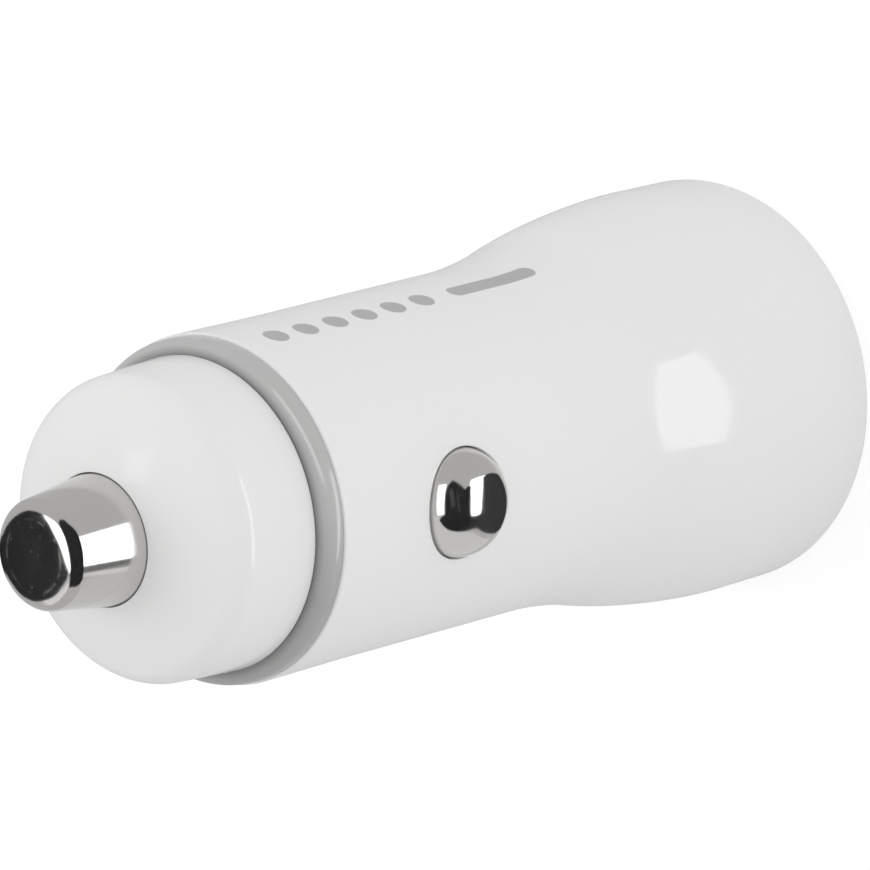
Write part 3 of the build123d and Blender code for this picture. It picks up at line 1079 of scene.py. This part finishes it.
@dataclass
class CentreContact(Part):
    """The tapered contact in the nose and the coil spring behind it, in millimetres."""

    face_radius: float = 2.27
    front_radius: float = 3.16
    base_radius: float = 3.8
    reach: float = 5.08
    crown_drop: float = 0.325
    crown_round: float = 2.9
    corner_round: float = 0.7
    flange_radius: float = 5.2
    flange_height: float = 1.1
    flange_round: float = 0.15
    bore_radius: float = 2.74
    face_thickness: float = 2.18
    wire_radius: float = 0.28
    coil_radius: float = 2.36
    coil_turns: int = 5
    coil_steps: int = 40
    wire_sides: int = 12
    travel: float = 3.5

    def build(self, finishes: Finishes) -> None:
        """Make the contact and its spring."""
        self._plunger(finishes["tip"])
        self._coil(finishes["spring"])

    def _plunger(self, material: Material) -> None:
        """Make the tapered contact.

        Args:
            material: Its finish.
        """
        low, high = box_mm("tip_contact")
        nose_top = high.z - self.reach
        flange_top = low.z + self.flange_height
        bore_top = high.z - self.face_thickness
        section = [
            Corner(0, bore_top),
            Corner(0, high.z),
            Corner(self.face_radius, high.z, self.crown_round, segments=12),
            Corner(self.front_radius, high.z - self.crown_drop, self.corner_round, segments=14),
            Corner(self.base_radius, nose_top),
            Corner(self.base_radius, flange_top),
            Corner(self.flange_radius, flange_top, self.flange_round, segments=3),
            Corner(self.flange_radius, low.z, self.flange_round, segments=3),
            Corner(self.bore_radius, low.z),
            Corner(self.bore_radius, bore_top),
        ]
        mesh = Outline(section, closed=False).turned()
        make_piece(mesh, "centre_plunger", material, "centre_contact", "tip_contact")

    def _coil(self, material: Material) -> None:
        """Wind the coil spring at rest; its shortening as the contact is pressed in isn't made here.

        Args:
            material: Its finish.
        """
        low, high = box_mm("tip_spring")
        length = high.z - low.z
        height = length - 2 * self.wire_radius
        steps = self.coil_turns * self.coil_steps
        mesh = bmesh.new()
        wire = bmesh.ops.create_circle(
            mesh,
            cap_ends=True,
            segments=self.wire_sides,
            radius=self.wire_radius * MM,
            matrix=Matrix.Translation((self.coil_radius * MM, 0, (low.z + self.wire_radius) * MM))
            @ Matrix.Rotation(pi / 2, 4, "X"),
        )
        bmesh.ops.spin(
            mesh,
            geom=wire["verts"] + mesh.edges[:] + mesh.faces[:],
            cent=(0, 0, 0),
            axis=(0, 0, 1),
            dvec=(0, 0, height / steps * MM),
            angle=tau * self.coil_turns,
            steps=steps,
        )
        bmesh.ops.recalc_face_normals(mesh, faces=mesh.faces)
        piece = make_piece(mesh, "coil_spring", material, "plug", "tip_spring")
        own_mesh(piece)


@dataclass
class SideContact(Part):
    """One domed side contact and the leaf spring behind it, in millimetres."""

    facing: Facing
    side_radius: float = 3.2
    cap_radius: float = 5.25
    shoulder_round: float = 2.03
    shoulder_inset: float = 1.09
    flank_tilt: float = 70.0
    flange_radius: float = 4.05
    flange_height: float = 0.5
    flange_round: float = 0.12
    bore_radius: float = 2.25
    face_thickness: float = 1.6
    leaf_thickness: float = 0.3
    leaf_bend: float = 0.9
    leaf_foot_length: float = 2.5
    leaf_crest: float = 3.85
    travel: float = 1.5
    turn_steps: int = 128

    def __post_init__(self) -> None:
        """Take the place of the contact from the frame."""
        low, high = box_mm(self._node("side_contact"))
        self.height = (low.z + high.z) / 2
        self.reach = max(abs(low.x), abs(high.x))
        self.root = min(abs(low.x), abs(high.x))

    def _node(self, kind: str) -> str:
        """Give the name of a node on this side."""
        return f"{kind}_{self.facing.side}"

    def build(self, finishes: Finishes) -> None:
        """Make the contact and its spring."""
        self._dome(finishes["chrome"])
        self._leaf(finishes["spring"])

    def _dome(self, material: Material) -> None:
        """Make the domed contact.

        Args:
            material: Its finish.
        """
        flange_top = self.root + self.flange_height
        bore_end = self.reach - self.face_thickness
        cap_centre = self.reach - self.cap_radius
        inset, tilt = self.shoulder_inset, radians(self.flank_tilt)
        meeting = asin(inset / (self.cap_radius - self.shoulder_round))
        shoulder_height = cap_centre + inset / tan(meeting)
        flank = self.side_radius - inset - self.shoulder_round * sin(tilt)
        flank_end = shoulder_height + self.shoulder_round * cos(tilt) - flank * tan(tilt)
        section = [
            Corner(0, bore_end),
            Corner(0, self.reach),
            Corner.of_arc((0, cap_centre), self.cap_radius, 0, meeting, segments=20),
            Corner.of_arc((inset, shoulder_height), self.shoulder_round, meeting, tilt, segments=24),
            Corner(self.side_radius, flank_end),
            Corner(self.side_radius, flange_top),
            Corner(self.flange_radius, flange_top, self.flange_round, segments=3),
            Corner(self.flange_radius, self.root, self.flange_round, segments=3),
            Corner(self.bore_radius, self.root),
            Corner(self.bore_radius, bore_end),
        ]
        mesh = Outline(section, closed=False).turned(self.turn_steps)
        bmesh.ops.transform(
            mesh,
            matrix=Matrix.Translation((0, 0, self.height * MM))
            @ Matrix.Rotation(self.facing.value * pi / 2, 4, "Y"),
            verts=mesh.verts,
        )
        body, node = f"{self.facing.side}_contact", self._node("side_contact")
        make_piece(mesh, self._node("side_dome"), material, body, node)

    def _leaf(self, material: Material) -> None:
        """Fold the leaf spring at rest; its flattening as the contact is pressed in isn't made here.

        Args:
            material: Its finish.
        """
        node = self._node("side_spring")
        low, high = box_mm(node)
        width = high.y - low.y
        nearest = min(abs(low.x), abs(high.x))
        foot = nearest + self.leaf_thickness / 2
        crest = max(abs(low.x), abs(high.x)) - self.leaf_thickness / 2
        strip = [
            Corner(foot, low.z),
            Corner(foot, low.z + self.leaf_foot_length, self.leaf_bend),
            Corner(crest, self.height - self.leaf_crest, self.leaf_bend),
            Corner(crest, high.z),
        ]
        mesh = Outline(strip, closed=False).wire()
        swept = bmesh.ops.extrude_edge_only(mesh, edges=mesh.edges[:])
        raised = [item for item in swept["geom"] if isinstance(item, BMVert)]
        bmesh.ops.translate(mesh, verts=raised, vec=(0, width * MM, 0))
        bmesh.ops.translate(mesh, verts=mesh.verts, vec=(0, -width / 2 * MM, 0))
        bmesh.ops.recalc_face_normals(mesh, faces=mesh.faces)
        bmesh.ops.solidify(mesh, geom=mesh.faces[:], thickness=self.leaf_thickness * MM)
        slide = nearest * MM - min(point.co.x for point in mesh.verts)
        bmesh.ops.translate(mesh, verts=mesh.verts, vec=(slide, 0, 0))
        if self.facing is Facing.LEFT:
            bmesh.ops.rotate(mesh, verts=mesh.verts, cent=(0, 0, 0), matrix=Matrix.Rotation(pi, 3, "Z"))
        bmesh.ops.recalc_face_normals(mesh, faces=mesh.faces)
        piece = make_piece(mesh, self._node("leaf_spring"), material, "plug", node)
        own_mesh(piece)


class Electronics(Part):
    """The pieces that keep their own solids: face plate, sockets, board and what is on it."""

    FINISH_OF = {
        "face_plate": "face",
        "main_board": "board",
        "positive_terminal": "brass",
        "usb_shell_right": "shell",
        "usb_shell_left": "shell",
        "usb_insulator_right": "tongue",
        "usb_insulator_left": "tongue",
        "usb_contacts_right": "gold",
        "usb_contacts_left": "gold",
        "inductor_core": "ferrite",
        "inductor_winding": "winding",
        "input_capacitor": "can",
        "output_capacitor": "block",
        "regulator_chip": "chip",
        "rectifier_diode": "chip",
        "chip_resistors": "chip",
        "chip_capacitors": "ceramic",
    }

    def build(self, finishes: Finishes) -> None:
        """Dress every carried-over node."""
        for node, finish in self.FINISH_OF.items():
            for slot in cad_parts[node].material_slots:
                slot.material = finishes[finish]
            LOG.info("dressed %s in %s", node, finishes[finish].name)


@dataclass
class PhotoCamera:
    """The camera where it stood, found from the plug's outline.

    Attributes:
        focal: Focal length, in pixels of a frame that is 870 pixels wide.
        frame_side: Side of that frame, in pixels.
        mark_height: Height on the axis of the mark that the camera is placed by, in millimetres.
        mark_pixel: Where that mark, just inside the tip, is seen, in pixels.
        mark_depth: Distance to it along the view, in millimetres.
        tilt: Angle between the view and the plug's axis, in degrees.
        heading: Direction in which the axis leans in the picture, in degrees.
        contact_turn: Turn of the right contact about the axis, in degrees.
        sensor: Width of the sensor, in millimetres.
        clip: Nearest and farthest distance that it sees, in metres.
    """

    focal: float = 5500.0
    frame_side: float = 870.0
    mark_height: float = 59.6
    mark_pixel: tuple[float, float] = (35.335, 556.473)
    mark_depth: float = 303.423
    tilt: float = 42.804
    heading: float = -14.579
    contact_turn: float = 19.11
    sensor: float = 36.0
    clip: tuple[float, float] = (0.02, 20.0)

    def __post_init__(self) -> None:
        """Work out the camera's place and axes."""
        tilt, heading, turn = radians(self.tilt), radians(self.heading), radians(self.contact_turn)
        lean = Vector((cos(heading), sin(heading), 0))
        away = lean * sin(tilt) + Vector((0, 0, cos(tilt)))
        toward = (lean * cos(tilt) - Vector((0, 0, sin(tilt)))).normalized()
        beside = away.cross(toward).normalized()
        right_contact = toward * cos(turn) + beside * sin(turn)
        up_axis = -away
        self.axes = Matrix((right_contact, up_axis.cross(right_contact), up_axis))
        centre = self.frame_side / 2
        seen = Vector((self.mark_pixel[0] - centre, self.mark_pixel[1] - centre, self.focal))
        mark_view = seen * (self.mark_depth / self.focal) * MM
        self.place = Vector((0, 0, self.mark_height * MM)) - self.axes @ mark_view

    def aim(self, bearing: float, rise: float) -> Vector:
        """Give a direction as the photographer would point at it from the plug.

        Args:
            bearing: Angle to the right of the camera, in degrees.
            rise: Angle above the camera, in degrees.

        Returns:
            The direction in the plug's frame.
        """
        turn, lift = radians(bearing), radians(rise)
        view = Vector((cos(lift) * sin(turn), -sin(lift), -cos(lift) * cos(turn)))
        return self.axes @ view

    def build(self) -> None:
        """Set the camera up."""
        data = bpy.data.cameras.new("photo_camera")
        data.sensor_width = self.sensor
        data.lens = self.focal * self.sensor / self.frame_side
        data.clip_start, data.clip_end = self.clip
        camera = bpy.data.objects.new("photo_camera", data)
        turn = (self.axes @ Matrix.Diagonal((1, -1, -1))).to_4x4()
        camera.matrix_world = Matrix.Translation(self.place) @ turn
        bpy.context.scene.collection.objects.link(camera)
        bpy.context.scene.camera = camera


class Glow(Enum):
    """How bright a studio surface looks in a reflection."""

    STREAK = 3.2
    SOFTBOX = 2.3
    FAINT_BOX = 1.0
    ROOM = 0.58
    RIM = 0.35
    DIM = 0.2
    TABLE = 0.12
    HAZE = 0.06
    DUSK = 0.03


TIP = ("centre_plunger",)
SIDE_DOMES = ("side_dome_right", "side_dome_left")
HOUSING = ("housing_shell",)
NOSE = ("nose_dome",)
RING = ("trim_band",)
DULL_PIECES = (*HOUSING, *NOSE, *RING)

# Distances of lamps and cards from the plug's middle, in metres.
BEFORE_CARDS = 0.9
AT_CARDS = 1.4
BEHIND_CARDS = 1.6
BEHIND_ALL = 12.0


class PanelShader(Nodes):
    """A builder for the material of a studio surface."""

    def __init__(self, name: str) -> None:
        """Start a material under a name, without a surface."""
        self.material = bpy.data.materials.new(name)
        self.material.use_nodes = True
        super().__init__(self.material.node_tree)
        self.tree.nodes.remove(self.tree.nodes["Principled BSDF"])

    def glow(self, strength: float) -> NodeSocket:
        """Add a white light of some strength."""
        return self.feed("ShaderNodeEmission", WHITE, strength)

    def show(self, surface: NodeSocket) -> Material:
        """Make a shader the surface and give the material."""
        self.put(surface, self.tree.nodes["Material Output"].inputs["Surface"])
        return self.material


def only_in_mirrors(thing: Object) -> None:
    """Let nothing but reflections show a lamp or a card."""
    thing.visible_camera = False
    thing.visible_diffuse = False
    thing.visible_transmission = False
    thing.visible_volume_scatter = False


def link_light(source: Object, falls_on: Sequence[str]) -> None:
    """Let a light fall on some pieces only.

    Args:
        source: The lamp or glowing panel.
        falls_on: Names of the pieces that it falls on.
    """
    lit = bpy.data.collections.new(f"{source.name}_falls_on")
    for piece in falls_on:
        lit.objects.link(bpy.data.objects[piece])
    source.light_linking.receiver_collection = lit


def hang_lamp(name: str, size: tuple[float, float], power: float, matrix: Matrix) -> Object:
    """Hang a flat lamp that the camera doesn't see.

    Args:
        name: Name of the lamp.
        size: Its width and height, in metres.
        power: Its power, in watts.
        matrix: Its place, with its light along minus Z.

    Returns:
        The lamp's object.
    """
    data = bpy.data.lights.new(name, "AREA")
    data.shape = "RECTANGLE"
    data.size, data.size_y = size
    data.energy = power
    lamp = bpy.data.objects.new(name, data)
    lamp.matrix_world = matrix
    lamp.visible_camera = False
    bpy.context.scene.collection.objects.link(lamp)
    return lamp


class StudioItem:
    """A thing that stands round the plug, placed as seen from the camera."""

    def build(self, camera: PhotoCamera, middle: Vector) -> None:
        """Set it up.

        Args:
            camera: The camera that it is placed by.
            middle: The middle of the plug.
        """
        raise NotImplementedError


@dataclass(frozen=True)
class Softbox(StudioItem):
    """One softbox that shows only in reflections, placed round the plug as seen from the camera.

    Attributes:
        name: Name of the softbox.
        glow: How bright it looks.
        bearing: Angle of its middle to the right of the camera, in degrees.
        rise: Angle of its middle above the camera, in degrees.
        width: Angle that it spans across, in degrees.
        height: Angle that it spans up, in degrees.
        falls_on: Pieces that show it.
        lean: Angle by which its top leans to the right, in degrees.
        distance: Distance from the plug's middle, in metres.
    """

    name: str
    glow: Glow
    bearing: float
    rise: float
    width: float
    height: float
    falls_on: tuple[str, ...]
    lean: float = 0.0
    distance: float = BEFORE_CARDS

    def build(self, camera: PhotoCamera, middle: Vector) -> None:
        """Set the softbox up."""
        away = camera.aim(self.bearing, self.rise)
        across = camera.aim(self.bearing + 90, 0)
        turn = Matrix((across, away.cross(across).normalized(), away)).transposed().to_4x4()
        turn = turn @ Matrix.Rotation(radians(-self.lean), 4, "Z")
        place = Matrix.Translation(middle + away * self.distance)
        width, height = (2 * self.distance * tan(radians(angle / 2)) for angle in (self.width, self.height))
        power = self.glow.value * pi * width * height
        lamp = hang_lamp(self.name, (width, height), power, place @ turn)
        only_in_mirrors(lamp)
        link_light(lamp, self.falls_on)


@dataclass(frozen=True)
class SoftLamp(StudioItem):
    """One broad lamp that lights the plug and shows in no reflection.

    Attributes:
        name: Name of the lamp.
        bearing: Angle to the right of the camera, in degrees.
        rise: Angle above the camera, in degrees.
        gain: Share of full white that it adds to a surface that faces it.
        size: Side of the lamp, in metres.
        distance: Distance from the plug's middle, in metres.
    """

    name: str
    bearing: float
    rise: float
    gain: float
    size: float = 0.5
    distance: float = 0.8

    def build(self, camera: PhotoCamera, middle: Vector) -> None:
        """Set the lamp up."""
        away = camera.aim(self.bearing, self.rise)
        turn = away.to_track_quat("Z", "Y").to_matrix().to_4x4()
        place = Matrix.Translation(middle + away * self.distance)
        power = self.gain * pi**2 * self.distance**2
        lamp = hang_lamp(self.name, (self.size, self.size), power, place @ turn)
        lamp.visible_glossy = False


@dataclass(frozen=True)
class DarkCard(StudioItem):
    """A piece of the dark room round the plug, which some pieces don't see as dark.

    Attributes:
        name: Name of the card.
        outline: Bearing and rise of each of its corners as seen from the plug, in degrees.
        plain_to: Pieces to which it looks like the rest of the room.
        distance: Distance of its corners from the plug's middle, in metres.
    """

    name: str
    outline: tuple[tuple[float, float], ...]
    plain_to: tuple[str, ...] = DULL_PIECES
    distance: float = AT_CARDS

    def build(self, camera: PhotoCamera, middle: Vector) -> None:
        """Set the card up as a glowing panel that only reflections show."""
        mesh = bmesh.new()
        mesh.faces.new([mesh.verts.new(middle + camera.aim(*spot) * self.distance) for spot in self.outline])
        panel = PanelShader(self.name)
        clear = panel.feed("ShaderNodeBsdfTransparent")
        surface = panel.choose(panel.mirror_view(), clear, panel.glow(Glow.ROOM.value))
        card = place_mesh(mesh, self.name, panel.show(surface))
        only_in_mirrors(card)
        card.visible_shadow = False
        link_light(card, self.plain_to)
        card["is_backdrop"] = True


@dataclass
class Studio:
    """White floor, even light and the panels that the chrome shows.

    Attributes:
        floor_half: Half of the floor's side, in metres.
        floor_colour: How light the floor is to the plug.
        floor_seen_colour: How much of the plug's shadow the camera sees on the floor.
        floor_glow: What brings the floor up to white for the camera.
        floor_lift: Light that the floor gives to the plug from below.
        room_light: Light of the room at the plug's height.
        room_fall: Share of it that is missing straight above and below.
        lamps: Lamps that light the plug.
        cards: Dark panels that the chrome shows.
        softboxes: Bright panels that the chrome and the gloss show.
    """

    floor_half: float = 3.0
    floor_colour: float = 0.9
    floor_seen_colour: float = 0.4
    floor_glow: float = 0.68
    floor_lift: float = 0.2
    room_light: float = 0.85
    room_fall: float = 0.45
    lamps: tuple[SoftLamp, ...] = (
        SoftLamp("left_lamp", -70, 5, gain=0.2),
        SoftLamp("front_lamp", 5, 5, gain=0.1),
    )
    cards: tuple[DarkCard, ...] = (
        DarkCard(
            "dark_front",
            (
                (-32, -37), (-23, -32), (-11, -27), (-9, -25), (-8, -4), (-10, 16), (-8, 26), (-2, 33),
                (7, 40), (21, 32), (37, 19), (43, 14), (48, 18), (55, 17), (62, 13), (67, -3), (70, -16),
                (73, -21), (73, -41), (37, -58), (0, -59), (-19, -51), (-29, -41),
            ),
        ),
        DarkCard(
            "dark_bridge",
            ((73, -21), (80, -20), (84, -18), (92, -24), (96, -30), (90, -30), (84, -32), (73, -41)),
        ),
        DarkCard(
            "dark_right",
            (
                (84, -18), (82, -7), (85, 3), (89, 16), (98, 21), (114, 22), (130, 17), (143, 11), (151, 6),
                (157, 3), (168, 1), (180, 1), (180, -4), (161, -9), (147, -15), (132, -21), (119, -26),
                (107, -29), (96, -30), (92, -24),
            ),
        ),
        DarkCard(
            "dark_left",
            (
                (-155, -2), (-155, -12), (-124, -15), (-119, -20), (-116, -26), (-106, -31), (-92, -33),
                (-83, -34), (-73, -31), (-64, -30), (-57, -27), (-58, -25), (-63, -21), (-66, -17),
                (-69, -13), (-71, -9), (-72, -2), (-74, 3), (-74, 6), (-80, 7), (-89, 7), (-98, 3),
                (-106, 0), (-115, -3),
            ),
        ),
        DarkCard(
            "dark_brow",
            (
                (-57, -27), (-52, -40), (-42, -52), (0, -64), (18, -66), (50, -63), (74, -58), (88, -47),
                (98, -37), (80, -25), (76, 0), (74, 25), (68, 36), (34, 46), (15, 48), (0, 51), (-22, 42),
                (-46, 14),
            ),
            plain_to=(*DULL_PIECES, *SIDE_DOMES),
            distance=BEHIND_ALL,
        ),
    )
    softboxes: tuple[Softbox, ...] = (
        Softbox("softbox_tip_right", Glow.SOFTBOX, 82, 3, 20, 48, TIP),
        Softbox("softbox_tip_left", Glow.SOFTBOX, -64, -11, 24, 34, TIP, distance=BEHIND_CARDS),
        Softbox("rim_tip", Glow.RIM, -72, -43, 40, 18, TIP),
        Softbox("table_tip", Glow.TABLE, 150, -36, 100, 34, TIP),
        Softbox("dim_tip", Glow.DIM, 93, -29, 20, 14, TIP),
        Softbox("softbox_dome", Glow.SOFTBOX, 74, 0, 44, 48, SIDE_DOMES, lean=15, distance=BEHIND_CARDS),
        Softbox("softbox_front", Glow.SOFTBOX, -24.5, 3, 26, 60, SIDE_DOMES),
        Softbox("skirt_dome", Glow.RIM, -85, 0, 70, 80, SIDE_DOMES),
        Softbox("table_dome", Glow.DIM, 0, -90, 110, 110, SIDE_DOMES, distance=BEHIND_CARDS),
        Softbox("dusk_dome", Glow.DUSK, 122, -5, 80, 60, SIDE_DOMES),
        Softbox("haze_dome_one", Glow.HAZE, 9, 4, 9, 34, SIDE_DOMES, lean=-14),
        Softbox("haze_dome_two", Glow.HAZE, 29, -6, 8, 34, SIDE_DOMES, lean=-24),
        Softbox("softbox_head", Glow.SOFTBOX, 69.3, 5.3, 20, 43, HOUSING, lean=-12),
        Softbox("softbox_nose", Glow.SOFTBOX, 75, 2, 13, 52, NOSE),
        Softbox("softbox_low", Glow.FAINT_BOX, -60, 12, 12, 10, NOSE),
        Softbox("softbox_ring_front", Glow.STREAK, 10, 20, 26, 76, RING, lean=-47),
        Softbox("softbox_ring_right", Glow.STREAK, 98, -2, 10, 40, RING),
    )

    def build(self, camera: PhotoCamera) -> None:
        """Set the studio up.

        Args:
            camera: The camera that the panels are placed by.
        """
        low, high = cad_box
        middle = (low + high) / 2
        self._floor()
        self._room(camera.aim(0, 90))
        for item in (*self.lamps, *self.cards, *self.softboxes):
            item.build(camera, middle)
        bpy.context.scene.view_settings.view_transform = "Standard"

    def _floor(self) -> None:
        """Lay the white floor, which keeps the plug's shadow."""
        mesh = bmesh.new()
        bmesh.ops.create_grid(mesh, x_segments=1, y_segments=1, size=self.floor_half)
        panel = PanelShader("floor_white")
        sides = []
        for colour, strength in (
            (self.floor_colour, self.floor_lift),
            (self.floor_seen_colour, self.floor_glow),
        ):
            plain = panel.feed("ShaderNodeBsdfDiffuse", (colour, colour, colour, 1))
            sides.append(panel.feed("ShaderNodeAddShader", plain, panel.glow(strength)))
        seen = panel.rays("Is Camera Ray", "Is Glossy Ray", "Is Transmission Ray")
        floor = place_mesh(mesh, "floor", panel.show(panel.choose(seen, *sides)))
        floor.visible_glossy = False
        floor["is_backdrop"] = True

    def _room(self, up: Vector) -> None:
        """Light the room, less from above and below, white to the camera and grey to mirrors.

        Args:
            up: The direction that is up in the picture.
        """
        world = bpy.data.worlds.new("room")
        world.use_nodes = True
        nodes = Nodes(world.node_tree)
        even = world.node_tree.nodes["Background"]
        nodes.put(WHITE, even.inputs["Color"])
        nodes.put(self._strength(nodes, up), even.inputs["Strength"])
        white, grey = (nodes.feed("ShaderNodeBackground", WHITE, glow) for glow in (1.0, Glow.ROOM.value))
        mirrored = nodes.choose(nodes.mirror_view(), even.outputs[0], grey)
        seen = nodes.rays("Is Camera Ray", "Is Transmission Ray")
        surface = world.node_tree.nodes["World Output"].inputs["Surface"]
        nodes.put(nodes.choose(seen, mirrored, white), surface)
        bpy.context.scene.world = world

    def _strength(self, nodes: Nodes, up: Vector) -> NodeSocket:
        """Work out the room's light, which weakens towards its top and bottom.

        Args:
            nodes: The room's node tree.
            up: The direction that is up in the picture.

        Returns:
            The strength's socket.
        """
        rise = nodes.add("ShaderNodeVectorMath", operation="DOT_PRODUCT")
        nodes.put(nodes.add("ShaderNodeTexCoord").outputs["Generated"], rise.inputs[0])
        nodes.put(up, rise.inputs[1])
        square = nodes.math("MULTIPLY", rise.outputs["Value"], rise.outputs["Value"])
        fall = nodes.math("MULTIPLY", square, self.room_light * self.room_fall)
        return nodes.math("SUBTRACT", self.room_light, fall)


def write_sizes() -> None:
    """Work out the boxes of the solids and of the dressed plug, and keep nothing.
    """
    boxes = {"cad": cad_box, "visual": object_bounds()}
    {name: [list(corner) for corner in box] for name, box in boxes.items()}


def main() -> None:
    """Build the plug, then the camera and the studio round it."""
    logging.basicConfig(level=logging.INFO, format="%(name)s: %(message)s")
    finishes = Finishes()
    parts = [Housing(), NoseCap(), TrimRing(), CentreContact()]
    parts += [SideContact(facing) for facing in Facing]
    parts.append(Electronics())
    for part in parts:
        part.build(finishes)
    camera = PhotoCamera()
    camera.build()
    Studio().build(camera)
    write_sizes()


if __name__ == "__main__":
    main()
